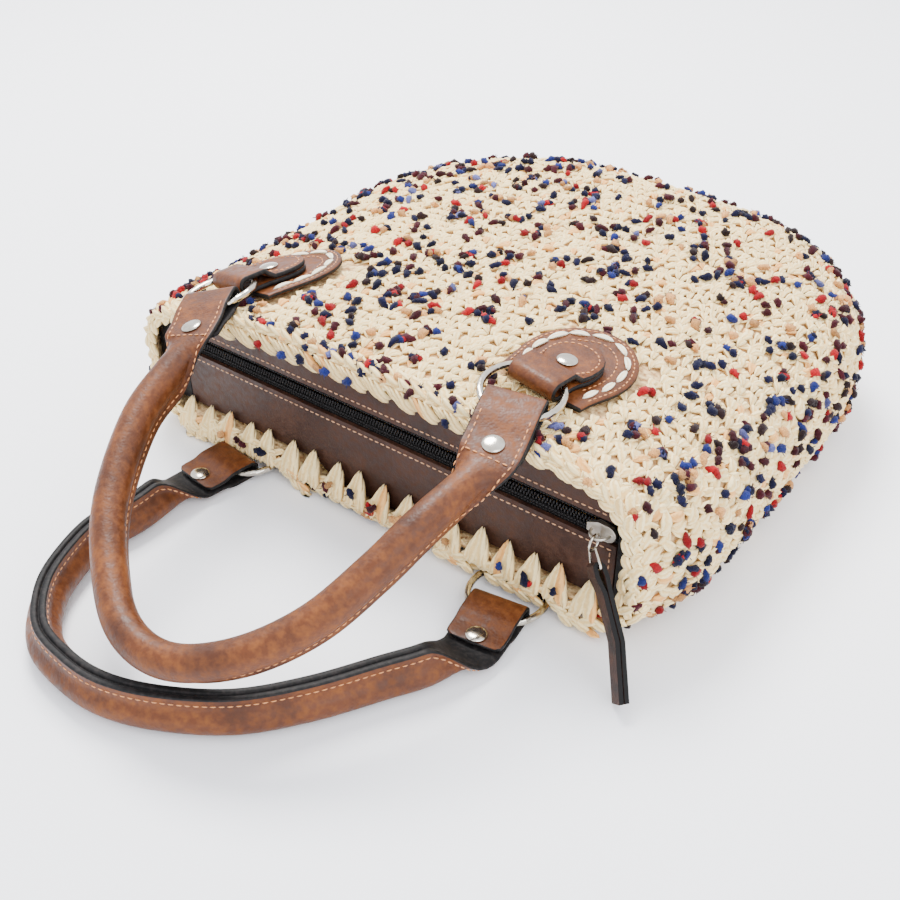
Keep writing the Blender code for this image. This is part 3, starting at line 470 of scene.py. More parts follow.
def join_strands(name, batches, material, replaced=()):
    """One piece from several batches of strands, each point with its tint and strand place."""
    points, faces, tints, coords = [], [], [], []
    start = 0
    for batch in batches:
        if not batch.rows:
            continue
        count, size = len(batch.rows), len(batch.shape.points)
        points.append(batch.placed().reshape(-1, 3))
        offsets = start + size * np.arange(count)[:, None, None]
        faces += (batch.shape.quads[None] + offsets).reshape(-1, 4).tolist()
        faces += (batch.shape.tips[None] + offsets).reshape(-1, 3).tolist()
        tints.append(np.repeat(np.array(batch.rows)[:, 12:15], size, axis=0))
        coords.append(np.tile(batch.shape.coords, (count, 1)))
        start += count * size
    mesh = bpy.data.meshes.new(name)
    mesh.from_pydata(np.concatenate(points).tolist(), [], faces)
    tints = np.concatenate(tints)
    colour = mesh.attributes.new("tint", "FLOAT_COLOR", "POINT")
    colour.data.foreach_set("color", np.hstack([tints, np.ones((len(tints), 1))]).ravel())
    place = mesh.attributes.new("strand", "FLOAT_VECTOR", "POINT")
    place.data.foreach_set("vector", np.concatenate(coords).ravel())
    return add_piece(name, mesh, (material,), replaced)


# Body surface

class Spot(NamedTuple):
    """A place on the body, its outward normal and a direction along it."""
    point: Vector
    normal: Vector
    direction: Vector

    def turned(self, angle):
        """The direction, turned about the normal."""
        aside = self.normal.cross(self.direction)
        return self.direction * math.cos(angle) + aside * math.sin(angle)


def body_mesh():
    """Both halves of the CAD body as one closed shell, welded along the waist."""
    mesh_data = bmesh.new()
    for name in BODY_NODES:
        mesh_data.from_mesh(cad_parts[name].data)
    bmesh.ops.remove_doubles(mesh_data, verts=mesh_data.verts, dist=1e-6)
    at_waist = {vertex for vertex in mesh_data.verts if abs(vertex.co.z - WAIST) < WAIST_GAP}
    cuts = [face for face in mesh_data.faces if all(vertex in at_waist for vertex in face.verts)]
    bmesh.ops.delete(mesh_data, geom=cuts, context="FACES")
    at_waist = [vertex for vertex in mesh_data.verts if abs(vertex.co.z - WAIST) < WAIST_GAP]
    bmesh.ops.remove_doubles(mesh_data, verts=at_waist, dist=1.5 * WAIST_GAP)
    return mesh_data


class Surface:
    """The CAD body, to find places on its outer and inner faces."""

    def __init__(self, mesh_data):
        bmesh.ops.triangulate(mesh_data, faces=mesh_data.faces)
        mesh_data.normal_update()
        self.tree = BVHTree.FromBMesh(mesh_data)
        self.corners = [[vertex.co.copy() for vertex in face.verts] for face in mesh_data.faces]
        self.normals = [[vertex.normal.copy() for vertex in face.verts] for face in mesh_data.faces]
        mesh_data.free()

    def cast(self, origin, direction):
        """First hit as a (point, smooth normal) pair, or None."""
        spot, _, index, _ = self.tree.ray_cast(origin, direction)
        if spot is None:
            return None
        normal = barycentric_transform(spot, *self.corners[index], *self.normals[index])
        return spot, normal.normalized()


BODY = Surface(body_mesh())


def even_steps(trail, pitch, offset=0.0):
    """Spots at even steps along a trail of (point, normal) pairs."""
    spots = []
    covered, due = 0.0, offset
    for (near, near_normal), (far, far_normal) in zip(trail, trail[1:]):
        length = (far - near).length
        while length > 0 and due <= covered + length:
            share = (due - covered) / length
            normal = near_normal.lerp(far_normal, share).normalized()
            spots.append(Spot(near.lerp(far, share), normal, (far - near).normalized()))
            due += pitch
        covered += length
    return spots


def column_places(side):
    """Y of each row, at even steps along the middle of the front (side 1) or the back (-1)."""
    trail = []
    y = MOUTH_Y + 0.004
    while y < BODY_HIGH.y:
        hit = BODY.cast(Vector((0.0, y, RAY_START * side)), Vector((0.0, 0.0, -side)))
        if hit and hit[1].z * side > PANEL_EDGE_TILT:
            trail.append(hit)
        y += 0.001
    return [spot.point.y for spot in even_steps(trail, ROW_HEIGHT)]


def row_spots(y, side, shift):
    """Stitch places of one row, from the middle of the panel to both shoulders."""
    spots = []
    for way in (1.0, -1.0):
        trail = []
        x = 0.0
        while x < BODY_HIGH.x:
            hit = BODY.cast(Vector((x * way, y, RAY_START * side)), Vector((0.0, 0.0, -side)))
            if hit is None or hit[1].z * side < PANEL_EDGE_TILT:
                break
            trail.append(hit)
            x += 0.002
        start = shift if way > 0 else STITCH_PITCH - shift
        for spot in even_steps(trail, STITCH_PITCH, start):
            spots.append(spot._replace(direction=spot.direction * way))
    return spots


def gusset_rows():
    """Starts and outward directions of the gusset's rows, from one side of the mouth to the other."""
    inner = CORNER_RADIUS - GUSSET_DEPTH
    straight = CORNER_Y - MOUTH_Y
    turn = CORNER_RADIUS * math.pi / 2
    width = 2 * CORNER_X
    total = 2 * straight + 2 * turn + width
    starts = []
    for number in range(1, int(total / GUSSET_ROW)):
        run = number * GUSSET_ROW
        if run < straight:
            start, angle = Vector((CORNER_X + inner, MOUTH_Y + run, WAIST)), 0.0
        elif run < straight + turn:
            angle = (run - straight) / CORNER_RADIUS
            start = Vector((CORNER_X + inner * math.cos(angle), CORNER_Y + inner * math.sin(angle), WAIST))
        elif run < straight + turn + width:
            start = Vector((CORNER_X - (run - straight - turn), CORNER_Y + inner, WAIST))
            angle = math.pi / 2
        elif run < straight + 2 * turn + width:
            angle = math.pi / 2 + (run - straight - turn - width) / CORNER_RADIUS
            start = Vector((-CORNER_X + inner * math.cos(angle), CORNER_Y + inner * math.sin(angle), WAIST))
        else:
            start, angle = Vector((-CORNER_X - inner, MOUTH_Y + total - run, WAIST)), math.pi
        starts.append((start, Vector((math.cos(angle), math.sin(angle), 0.0))))
    return starts


def gusset_spots(start, outward, shift):
    """Stitch places of one gusset row, from the back panel up to the front panel."""
    trail = []
    for degrees in range(-84, 85, 2):
        angle = math.radians(degrees)
        direction = outward * math.cos(angle) + UP * math.sin(angle)
        hit = BODY.cast(start + direction * RAY_START, -direction)
        if hit and abs(hit[1].z) < 0.86:
            trail.append(hit)
    return even_steps(trail, GUSSET_PITCH, shift) if len(trail) > 1 else []


def mouth_trail(y, outside):
    """Outline of the body at one depth behind the mouth, seen from outside or from within."""
    trail = []
    steps = 720
    for step in range(steps + 1):
        angle = 2.0 * math.pi * step / steps
        direction = Vector((math.cos(angle), 0.0, math.sin(angle)))
        centre = Vector((0.0, y, WAIST))
        if outside:
            hit = BODY.cast(centre + direction * MOUTH_RAY_START, -direction)
        else:
            hit = BODY.cast(centre, direction)
        if hit:
            trail.append(hit)
    return trail


# Tabs as measured from the CAD nodes

class TabFrame(NamedTuple):
    """Point at ring level on a strap's line, with the strap's directions."""
    centre: Vector
    along: Vector
    out: Vector
    across: Vector

    def at(self, along, across, out):
        return self.centre + self.along * along + self.across * across + self.out * out


def node_points(name):
    return np.array([vertex.co[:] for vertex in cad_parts[name].data.vertices])


def node_centre(name):
    """Middle of a node's distinct points."""
    return Vector(np.unique(np.round(node_points(name), 6), axis=0).mean(axis=0))


def main_axes(name):
    """A node's principal axes, from the narrowest to the widest, with their spreads."""
    points = np.unique(np.round(node_points(name), 6), axis=0)
    spreads, axes = np.linalg.eigh(np.cov(points.T))
    return spreads, [Vector(axes[:, index]) for index in range(3)]


def fold_frame(name, out, kind, reach):
    """Frame of a strap, from the line of its thickness, its rivet and its ring."""
    if out.z * (1.0 if name.startswith("front") else -1.0) < 0:
        out = -out
    rivet = node_centre(kind + name)
    along = rivet - node_centre("ring_" + name)
    along = (along - out * along.dot(out)).normalized()
    return TabFrame(rivet - along * reach, along, out, along.cross(out))


def tab_frame(name):
    """Frame of a tab, set at the level of its flat patch."""
    patch = "tab_patch_" + name
    tab = fold_frame(name, main_axes(patch)[1][0], "tab_rivet_", RIVET_REACH)
    top = max(Vector(point).dot(tab.out) for point in node_points(patch))
    return tab._replace(centre=tab.centre + tab.out * (top + PATCH_LEVEL - tab.centre.dot(tab.out)))


def handle_frame(name):
    """Frame of a handle's end, set at its two-headed rivet."""
    spreads, axes = main_axes("handle_rivet_" + name)
    gaps = (spreads[1] - spreads[0], spreads[2] - spreads[1])
    out = axes[0] if gaps[0] > gaps[1] else axes[2]
    return fold_frame(name, out, "handle_rivet_", HANDLE_RIVETS[name])


TABS = {name: tab_frame(name) for name in SIDES}
ENDS = {name: handle_frame(name) for name in SIDES}


def over_patch(point, margin):
    """True where a tab's patch covers this place of the body."""
    for tab in TABS.values():
        offset = point - tab.centre
        along, across = offset.dot(tab.along), offset.dot(tab.across)
        near = PATCH_SETBACK - margin < along < PATCH_SETBACK + PATCH_LENGTH + margin
        if near and abs(across) < PATCH_WIDTH / 2 + margin and abs(offset.dot(tab.out)) < 0.03:
            return True
    return False


# Crochet

def yarn_tint():
    """Cream that varies a little, with a peach stretch now and then."""
    base = PEACH if random.random() < PEACH_CHANCE else CREAM
    shade = random.uniform(0.90, 1.04)
    warmth = random.uniform(0.93, 1.03)
    return (base[0] * shade, base[1] * shade * (0.5 + warmth / 2), base[2] * shade * warmth)


def add_stitch(batch, spot, stitch, sink):
    """One V of two puffs, open across the row. It lies deeper and flatter under a patch."""
    width, length, height, spread = stitch
    ahead = spot.normal.cross(spot.direction)
    if over_patch(spot.point, 0.001):
        sink, height = sink + height * 0.75, height * 0.6
    turn = random.normal(0.0, STITCH_TURN)
    for hand in (-1.0, 1.0):
        angle = turn - hand * (spread + random.normal(0.0, PUFF_TURN))
        aside = hand * width * STRAND_ASIDE + random.normal(0.0, PUFF_SHIFT)
        slide = random.normal(0.0, PUFF_SLIDE)
        lift = random.normal(0.0, PUFF_SHIFT) - sink
        place = spot.point + spot.direction * aside + ahead * slide + spot.normal * lift
        size = (length * random.uniform(0.85, 1.15), width * random.uniform(0.92, 1.25),
                height * random.uniform(0.85, 1.25))
        along = spot._replace(direction=ahead).turned(angle)
        batch.add(place, along, spot.normal, size, yarn_tint())


def make_panels():
    """Rows of V stitches on the front and back panels. Returns the places for nubs."""
    places = {}
    for name, side, sink in (("crochet_front", 1.0, STITCH_SINK), ("crochet_back", -1.0, BACK_SINK)):
        batch = Strands(PUFF)
        places[name] = []
        for row, y in enumerate(column_places(side)):
            shift = STITCH_PITCH * (0.5 if row % 2 else 0.0)
            for spot in row_spots(y, side, shift):
                spot = spot if side > 0 else spot._replace(direction=-spot.direction)
                add_stitch(batch, spot, PANEL_STITCH, sink)
                places[name].append(spot)
        join_strands(name, (batch,), YARN)
    return places


def make_gusset():
    """Broader stitches round the bag's depth, in rows parallel to the mouth edge."""
    batch = Strands(PUFF)
    places = []
    for row, (start, outward) in enumerate(gusset_rows()):
        shift = GUSSET_PITCH * (0.5 if row % 2 else 0.0)
        for spot in gusset_spots(start, outward, shift):
            add_stitch(batch, spot, GUSSET_STITCH, STITCH_SINK)
            places.append(spot)
    join_strands("crochet_gusset", (batch,), YARN)
    return places


def hem_drop(point):
    """The lower edge hangs down by the rear rings, where the back panel is pushed up."""
    if point.z > WAIST:
        return 0.0
    name = min(HEM_DROPS, key=lambda side: abs(point.x - TABS[side].centre.x))
    aside = abs(point.x - TABS[name].centre.x)
    hang = 1.0 - smooth((aside - HEM_HALF_WIDTH) / HEM_FADE)
    over_wire = 1.0 - smooth((abs(aside - RING_RADIUS) - WIRE_MARGIN) / WIRE_FADE)
    free = mix(HEM_DROPS[name], HEM_EDGE_DROP, smooth((aside - RING_RADIUS) / HEM_SPREAD))
    drop = hang * mix(free, HEM_OVER_WIRE, over_wire)
    if point.y > MOUTH_Y + 0.0022 and aside < TAB_WIDTH / 2 + 0.003:
        drop = min(drop, HEM_OVER_STRAP)
    return drop


def add_braid(batch, trail, braid, end_x=1.0):
    """Plaited row: strands that lean to both sides in turn along a trail, as far as end_x."""
    width, length, height, lean = braid
    for hand, shift in ((1.0, 0.0), (-1.0, 0.5)):
        for spot in even_steps(trail, BRAID_PITCH, BRAID_PITCH * shift):
            if abs(spot.point.x) > end_x:
                continue
            aside = spot.normal.cross(spot.direction) * (hand * width * STRAND_ASIDE)
            along = spot.turned(hand * (lean + random.normal(0.0, BRAID_TURN)))
            drop = hem_drop(spot.point)
            place = spot.point + aside - UP * drop + OUT_OF_MOUTH * drop * 0.35
            size = (length * random.uniform(0.92, 1.1), width * random.uniform(0.95, 1.15),
                    height * random.uniform(0.9, 1.15))
            batch.add(place, along, spot.normal, size, yarn_tint())


def make_rim():
    """Plaited rows round the mouth: on the outer edge, on the rim and along its lower inner lip."""
    batch = Strands(ROPE)
    outer = mouth_trail(MOUTH_Y + RIM_OUTER_DEPTH, True)
    add_braid(batch, [(point + normal * RIM_LIFT, normal) for point, normal in outer], RIM_BRAID)
    front_outer = mouth_trail(MOUTH_Y + RIM_FACE_DEPTH, True)
    front_inner = mouth_trail(MOUTH_Y + RIM_FACE_DEPTH, False)
    middle = []
    for (outside, _), (inside, _) in zip(front_outer, front_inner):
        share = UPPER_RIM_SHARE if outside.z > WAIST else 0.5
        middle.append((outside.lerp(inside, share), OUT_OF_MOUTH))
    add_braid(batch, middle, RIM_BRAID)
    lip = []
    for point, normal in mouth_trail(MOUTH_Y + LIP_DEPTH, False):
        if point.z < WAIST - LIP_BELOW_WAIST:
            lip.append((point + normal * LIP_LIFT, (normal + OUT_OF_MOUTH).normalized()))
    add_braid(batch, lip, LIP_BRAID, LIP_END_X)
    join_strands("crochet_rim", (batch,), YARN)
    return outer


# Points along the lower leather strip and scallops along the upper one
POINT_COUNT = 18
POINT_FIRST_X, POINT_LAST_X = -0.122, 0.125
POINT_FIRST_Z, POINT_LAST_Z = 0.0212, 0.0268
POINT_LENGTH = 0.0165
POINT_JITTER = 0.0007
POINT_THICKNESS = 0.0044
SCALLOP_COUNT = 17
SCALLOP_FIRST_X, SCALLOP_LAST_X = -0.097, 0.125
SCALLOP_FIRST_Z, SCALLOP_LAST_Z = 0.0716, 0.0763
SCALLOP_LENGTH = 0.0140
SCALLOP_BELOW_EDGE = 0.0010
SCALLOP_LEAN = 0.0056
SCALLOP_SPREAD = 0.0031
SCALLOP_TIP_SHARE = 0.56
SCALLOP_OUT = 0.0018
SCALLOP_SIZE = (0.0042, 0.0046)

# Strands on each side of a point: spread at the base and at the tip, width, and fall below the tip
POINT_STRANDS = ((0.0027, 0.0007, 0.0056, 0.0), (0.0054, 0.0020, 0.0046, 0.0036))


def add_edge_strand(batch, tip, base, size):
    """Pointed strand whose fat end is at its base."""
    middle = (tip + base) / 2
    length = (base - tip).length * 1.12
    batch.add(middle, (base - tip).normalized(), OUT_OF_MOUTH, (length, *size), yarn_tint())


def make_points():
    """Pairs of strands that meet in a point on the lower strip."""
    batch = Strands(POINTED)
    places = []
    for number in range(POINT_COUNT):
        share = number / (POINT_COUNT - 1)
        x = mix(POINT_FIRST_X, POINT_LAST_X, share) + random.normal(0.0, POINT_JITTER)
        tip_z = mix(POINT_FIRST_Z, POINT_LAST_Z, share ** 0.7) + random.normal(0.0, POINT_JITTER)
        base_z = tip_z - POINT_LENGTH
        lean = random.normal(0.0, POINT_JITTER)
        for hand in (-1.0, 1.0):
            for spread, top, width, fall in POINT_STRANDS:
                tip = Vector((x + lean + hand * top, PANEL_FACE - 0.0014, tip_z - fall))
                base = Vector((x + hand * spread, MOUTH_Y - 0.0024, base_z))
                add_edge_strand(batch, tip, base, (width, POINT_THICKNESS))
        middle = Vector((x, MOUTH_Y - 0.0022, base_z + POINT_LENGTH * 0.5))
        places.append(Spot(middle, OUT_OF_MOUTH, ACROSS_MOUTH))
    join_strands("edge_points", (batch,), YARN)
    return places


def make_scallops():
    """Leaning leaves of strands over the upper strip, each drawn together at its tip."""
    batch = Strands(LEAF)
    places = []
    for number in range(SCALLOP_COUNT):
        share = number / (SCALLOP_COUNT - 1)
        x = mix(SCALLOP_FIRST_X, SCALLOP_LAST_X, share) + random.normal(0.0, 0.0006)
        tip_z = mix(SCALLOP_FIRST_Z, SCALLOP_LAST_Z, share) + random.normal(0.0, 0.0005)
        over = BODY.cast(Vector((x - SCALLOP_LEAN, MOUTH_Y + 0.002, BODY_HIGH.z + 0.1)), -UP)
        base_z = min(tip_z + SCALLOP_LENGTH, over[0].z - SCALLOP_BELOW_EDGE)
        for line in range(4):
            offset = (line - 1.5) * SCALLOP_SPREAD
            rise = abs(line - 1.7) ** 1.6 * 0.0018
            tip = Vector((x + offset * SCALLOP_TIP_SHARE, PANEL_FACE - SCALLOP_OUT, tip_z + rise))
            base = Vector((x + offset - SCALLOP_LEAN, MOUTH_Y - SCALLOP_OUT, base_z))
            add_edge_strand(batch, base, tip, SCALLOP_SIZE)
        middle = Vector((x - 0.0028, MOUTH_Y - 0.0012, tip_z + SCALLOP_LENGTH * 0.6))
        places.append(Spot(middle, OUT_OF_MOUTH, ACROSS_MOUTH))
    join_strands("edge_scallops", (batch,), YARN)
    return places


def pick_nub_colour():
    draw = random.random() * sum(share for _, share in NUB_COLOURS)
    for colour, share in NUB_COLOURS:
        draw -= share
        if draw <= 0:
            return colour
    return NUB_COLOURS[-1][0]


def add_nub(batches, fibres, spot, lift):
    """Tuft that sticks out at a slant, with loose fibres round it."""
    flat = spot.turned(random.uniform(0.0, 2.0 * math.pi))
    along = (flat + spot.normal * random.uniform(0.0, 0.6)).normalized()
    size = (random.uniform(*NUB_LENGTHS), random.uniform(*NUB_WIDTHS), random.uniform(*NUB_HEIGHTS))
    shade = random.uniform(*NUB_SHADES)
    tint = tuple(channel * shade for channel in pick_nub_colour())
    place = spot.point + spot.normal * lift + flat * random.uniform(-0.001, 0.001)
    batches[random.integers(len(batches))].add(place, along, spot.normal, size, tint)
    for _ in range(FIBRES_PER_NUB):
        away = spot.turned(random.uniform(0.0, 2.0 * math.pi))
        away = (away + spot.normal * random.uniform(0.1, 0.9)).normalized()
        root = place + away * size[1] * 0.55
        fibres.add(root, away, flat, (random.uniform(*FIBRE_LENGTHS), FIBRE_WIDTH, FIBRE_WIDTH), tint)
    return flat


def make_nubs(panels, gusset, edges):
    """Coloured tufts on the panels, round the gusset, and on the rim, points and scallops."""
    batches = [Strands(nub_shape()) for _ in range(5)]
    fibres = Strands(FIBRE)
    places = {"front": panels["crochet_front"], "back": panels["crochet_back"], "gusset": gusset,
              "edges": edges}
    for name, (count, lift) in NUBS_ON.items():
        spots = places[name]
        for index in random.choice(len(spots), size=min(count, len(spots)), replace=False):
            spot = spots[index]
            if over_patch(spot.point, 0.004):
                continue
            flat = add_nub(batches, fibres, spot, lift)
            while random.random() < CLUSTER_CHANCE:
                near = spot._replace(point=spot.point + flat * random.uniform(*NUB_STEPS))
                add_nub(batches, fibres, near, lift - 0.0004)
    join_strands("nubs", batches, NUBS)
    join_strands("nub_fibres", (fibres,), NUBS)


def make_shell():
    """The knitted wall behind the stitches, thinner than the CAD wall on both faces."""
    mesh_data = body_mesh()
    bmesh.ops.subdivide_edges(mesh_data, edges=mesh_data.edges, cuts=1, use_grid_fill=True, smooth=0.0)
    mesh_data.normal_update()
    for vertex, normal in [(vertex, vertex.normal.copy()) for vertex in mesh_data.verts]:
        vertex.co -= normal * SHELL_INSET
    mesh = bpy.data.meshes.new("crochet_shell")
    mesh_data.to_mesh(mesh)
    mesh_data.free()
    # The shell's darker backing colour is painted shade between the stitches
    add_piece("crochet_shell", mesh, (PAINTED_SHADE_BACKING,), BODY_NODES)


# Strips swept from sections

class Station(NamedTuple):
    """A place along a strip: its outer face line, its outward direction and its blend."""
    position: Vector
    outward: Vector
    blend: float


TAN_FACE, BLACK_FACE = 0, 1


def ring_mesh(name, rings, face_kinds):
    """Closed skin through rings of points; face_kinds gives each ring edge's material."""
    mesh_data = bmesh.new()
    loops = [[mesh_data.verts.new(point) for point in ring] for ring in rings]
    count = len(loops[0])
    for near, far in zip(loops, loops[1:]):
        for index in range(count):
            after = (index + 1) % count
            face = mesh_data.faces.new((near[index], near[after], far[after], far[index]))
            face.material_index = face_kinds[index]
    for loop in (loops[0], loops[-1]):
        cap = mesh_data.faces.new(loop)
        cap.material_index = BLACK_FACE
    bmesh.ops.recalc_face_normals(mesh_data, faces=mesh_data.faces)
    mesh = bpy.data.meshes.new(name)
    mesh_data.to_mesh(mesh)
    mesh_data.free()
    return mesh


def strap_section(half_width, thickness):
    """Flat strap: leather faces and rounded black edges, as (sideways, depth) and face kinds."""
    inset = min(0.0005, half_width * 0.2)
    face = [1.0, 0.72, 0.36, 0.0, -0.36, -0.72, -1.0]
    outer = [((half_width - inset) * share, 0.0) for share in face]
    edge = ((0.0, 0.22), (0.0001, 0.5), (0.0, 0.78))
    left = [(-half_width - bulge, thickness * share) for bulge, share in edge]
    inner = [(-(half_width - inset) * share, thickness) for share in face]
    right = [(half_width + bulge, thickness * share) for bulge, share in reversed(edge)]
    kinds = [TAN_FACE] * 6 + [BLACK_FACE] * 4 + [TAN_FACE] * 6 + [BLACK_FACE] * 4
    return outer + left + inner + right, kinds


def outward_turns(profile):
    """Outward direction at each point of a profile that folds back on itself."""
    turns = []
    last = len(profile) - 1
    for index in range(len(profile)):
        before, after = profile[max(0, index - 1)], profile[min(last, index + 1)]
        along, out = after[0] - before[0], after[1] - before[1]
        length = math.hypot(along, out)
        turns.append((-out / length, along / length))
    return turns


def fold_profile(low, high, closed_reach, low_reach, high_reach):
    """Outer face line of a strip folded round the ring."""
    profile = [(low_reach, low), (mix(low_reach, closed_reach, 0.5), low), (closed_reach, low)]
    for share in (0.3, 0.65, 1.0):
        profile.append((mix(closed_reach, RING_REACH, share), mix(low, -FOLD_RADIUS, share)))
    for degrees in range(-90, 91, 15):
        angle = math.radians(degrees)
        profile.append((FOLD_CENTRE - FOLD_RADIUS * math.cos(angle), FOLD_RADIUS * math.sin(angle)))
    for share in (0.0, 0.35, 0.7):
        profile.append((mix(RING_REACH, closed_reach, share), mix(FOLD_RADIUS, high, share)))
    profile += [(closed_reach, high), (mix(closed_reach, high_reach, 0.5), high), (high_reach, high)]
    return profile


def tab_width(along):
    """Strap width: straight at the ring, wider at the head, with a round end."""
    width = mix(TAB_WIDTH, TAB_HEAD_WIDTH, smooth((along - RING_REACH) / (RIVET_REACH - RING_REACH)))
    radius = TAB_HEAD_WIDTH / 2
    past = along - (TAB_REACH - radius)
    if past > 0:
        width = 2 * math.sqrt(max(0.0, radius * radius - past * past))
    return max(width, 0.003)


def tab_profile():
    low = -FOLD_RADIUS
    high = low + 2 * STRAP_LAYER + CLEARANCE
    radius = TAB_HEAD_WIDTH / 2
    head = []
    for degrees in (88, 80, 68, 54, 38, 20, 0):
        head.append(TAB_REACH - radius * (1 - math.sin(math.radians(degrees))))
    neck = RIVET_REACH + 0.003
    profile = fold_profile(low, high, RIVET_REACH - RIVET_MARGIN, neck, neck)
    return [(along, low) for along in head] + profile + [(along, high) for along in reversed(head)]


def make_strap(name, tab):
    """Folded strap with black edges round a ring."""
    profile = tab_profile()
    rings = []
    for (along, out), (turn_along, turn_out) in zip(profile, outward_turns(profile)):
        centre = tab.at(along, 0.0, out)
        inward = -(tab.along * turn_along + tab.out * turn_out)
        section, kinds = strap_section(tab_width(along) / 2, STRAP_LAYER)
        rings.append([centre - tab.across * sideways + inward * depth for sideways, depth in section])
    mesh = ring_mesh("strap_skin_" + name, rings, kinds)
    add_piece("strap_skin_" + name, mesh, (TAN, EDGE), ("tab_strap_" + name,))


def patch_half_width(along):
    """Half width of the shield at a distance from the ring's centre."""
    shoulder = PATCH_SETBACK + PATCH_LENGTH * 0.45
    end = PATCH_SETBACK + PATCH_LENGTH
    if along < shoulder:
        share = (along - PATCH_SETBACK) / (shoulder - PATCH_SETBACK)
        return mix(PATCH_FRONT_WIDTH, PATCH_WIDTH, smooth(share)) / 2
    past = min(1.0, (along - shoulder) / (end - shoulder))
    return PATCH_WIDTH / 2 * math.sqrt(max(0.0, 1.0 - past ** 2.2))


def patch_level(tab, along, across):
    """Height of the patch's top face: flat under the strap, and bent to the crochet beside it."""
    flat = -PATCH_LEVEL
    if tab.out.z < 0:
        return flat
    hit = BODY.cast(tab.at(along, across, 0.05), -tab.out)
    if hit is None:
        return flat
    surface = (hit[0] - tab.centre).dot(tab.out) + 0.0020 + PATCH_THICKNESS
    under_strap = tab_width(min(along, TAB_REACH)) / 2 + 0.001
    beyond = max(abs(across) - under_strap, (along - TAB_REACH) * 0.8, 0.0)
    return mix(flat, max(surface, flat - 0.008), smooth(beyond / 0.014))


def make_patch(name, tab):
    """Shield-shaped patch with rounded black edges, laid on the crochet."""
    rows = [PATCH_SETBACK + PATCH_LENGTH * share for share in
            (0.0, 0.01, 0.08, 0.18, 0.28, 0.38, 0.48, 0.58, 0.68, 0.77, 0.85, 0.91, 0.955, 0.985, 0.998)]
    shares = (-1.0, -0.97, -0.8, -0.6, -0.4, -0.2, 0.0, 0.2, 0.4, 0.6, 0.8, 0.97, 1.0)
    rings = []
    for along in rows:
        half = patch_half_width(along)
        top, bottom = [], []
        for share in shares:
            level = patch_level(tab, along, half * share)
            soft = 0.0005 if abs(share) == 1.0 else 0.0
            top.append(tab.at(along, half * share, level - soft))
            bottom.append(tab.at(along, half * share, level - PATCH_THICKNESS + soft))
        rings.append(top + list(reversed(bottom)))
    count = len(shares)
    kinds = [TAN_FACE] * (count - 1) + [BLACK_FACE] + [TAN_FACE] * (count - 1) + [BLACK_FACE]
    mesh = ring_mesh("patch_skin_" + name, rings, kinds)
    add_piece("patch_skin_" + name, mesh, (TAN, EDGE), ("tab_patch_" + name,))


def curve_points(points, step):
    """Smooth curve through points, read at about equal steps."""
    padded = [points[0] * 2 - points[1]] + points + [points[-1] * 2 - points[-2]]
    result = []
    for index in range(1, len(padded) - 2):
        p0, p1, p2, p3 = padded[index - 1:index + 3]
        pieces = max(1, round((p2 - p1).length / step))
        for piece in range(pieces):
            t = piece / pieces
            result.append(0.5 * (2 * p1 + (p2 - p0) * t + (2 * p0 - 5 * p1 + 4 * p2 - p3) * t ** 2
                                 + (3 * p1 - p0 - 3 * p2 + p3) * t ** 3))
    return result + [points[-1]]


def end_stations(end, rivet_reach):
    """Stations of a folded handle end, from the lower layer's end to the flat upper layer."""
    level = STRAP_LAYER + CLEARANCE / 2
    profile = fold_profile(-level, level, rivet_reach - RIVET_MARGIN, rivet_reach + RIVET_MARGIN,
                           rivet_reach + HANDLE_FLAT_END)
    stations = []
    for (along, out), (turn_along, turn_out) in zip(profile, outward_turns(profile)):
        turn = end.along * turn_along + end.out * turn_out
        stations.append(Station(end.at(along, 0.0, out), turn, 0.0))
    return stations


def loop_stations(start, end, points, reach, drop, outward):
    """Stations of the loop between two folded ends, blending from flat to rolled and back."""
    middle = (start.position + end.position) / 2
    half = (start.position.x - end.position.x) / 2
    ring_line = middle.y + RIVET_REACH + HANDLE_FLAT_END
    route = [start.position]
    for side, out, down in points:
        route.append(Vector((middle.x + side * half, ring_line - out * reach, middle.z - down * drop)))
    route.append(end.position)
    path = curve_points(route, HANDLE_STEP)
    lengths = [0.0]
    for near, far in zip(path, path[1:]):
        lengths.append(lengths[-1] + (far - near).length)
    stations = []
    for position, covered in zip(path[1:-1], lengths[1:-1]):
        shortest = min(covered, lengths[-1] - covered)
        nearest = start.outward if covered < lengths[-1] / 2 else end.outward
        turn = smooth(shortest / (2 * HANDLE_SHOULDER))
        blend = smooth(shortest / HANDLE_SHOULDER)
        stations.append(Station(position, nearest.lerp(outward, turn).normalized(), blend))
    return stations


def tube_section():
    """Rolled leather that meets in a stitched seam, with both black edges and a groove."""
    radius, seam = TUBE_RADIUS, SEAM_HALF_WIDTH
    side = [(seam, SEAM_DEPTH - 0.0003), (seam, SEAM_DEPTH - 0.003), (seam, SEAM_NECK),
            (seam + 0.0023, SEAM_NECK - 0.0022), (radius - 0.0004, SEAM_NECK - 0.0044)]
    arc = []
    for step in range(11):
        angle = math.pi * step / 10
        arc.append((radius * math.cos(angle), radius * (1 - math.sin(angle))))
    outer = side + arc + [(-x, depth) for x, depth in reversed(side)]
    edge = seam - 0.0004
    left = [(-edge, SEAM_DEPTH), (-seam * 0.55, SEAM_DEPTH + 0.0002), (-0.0006, SEAM_DEPTH)]
    groove = [(-0.0003, SEAM_DEPTH - 0.0009), (0.0, SEAM_DEPTH - 0.0012), (0.0003, SEAM_DEPTH - 0.0009)]
    right = [(0.0006, SEAM_DEPTH), (seam * 0.55, SEAM_DEPTH + 0.0002), (edge, SEAM_DEPTH)]
    return outer + left + groove + right


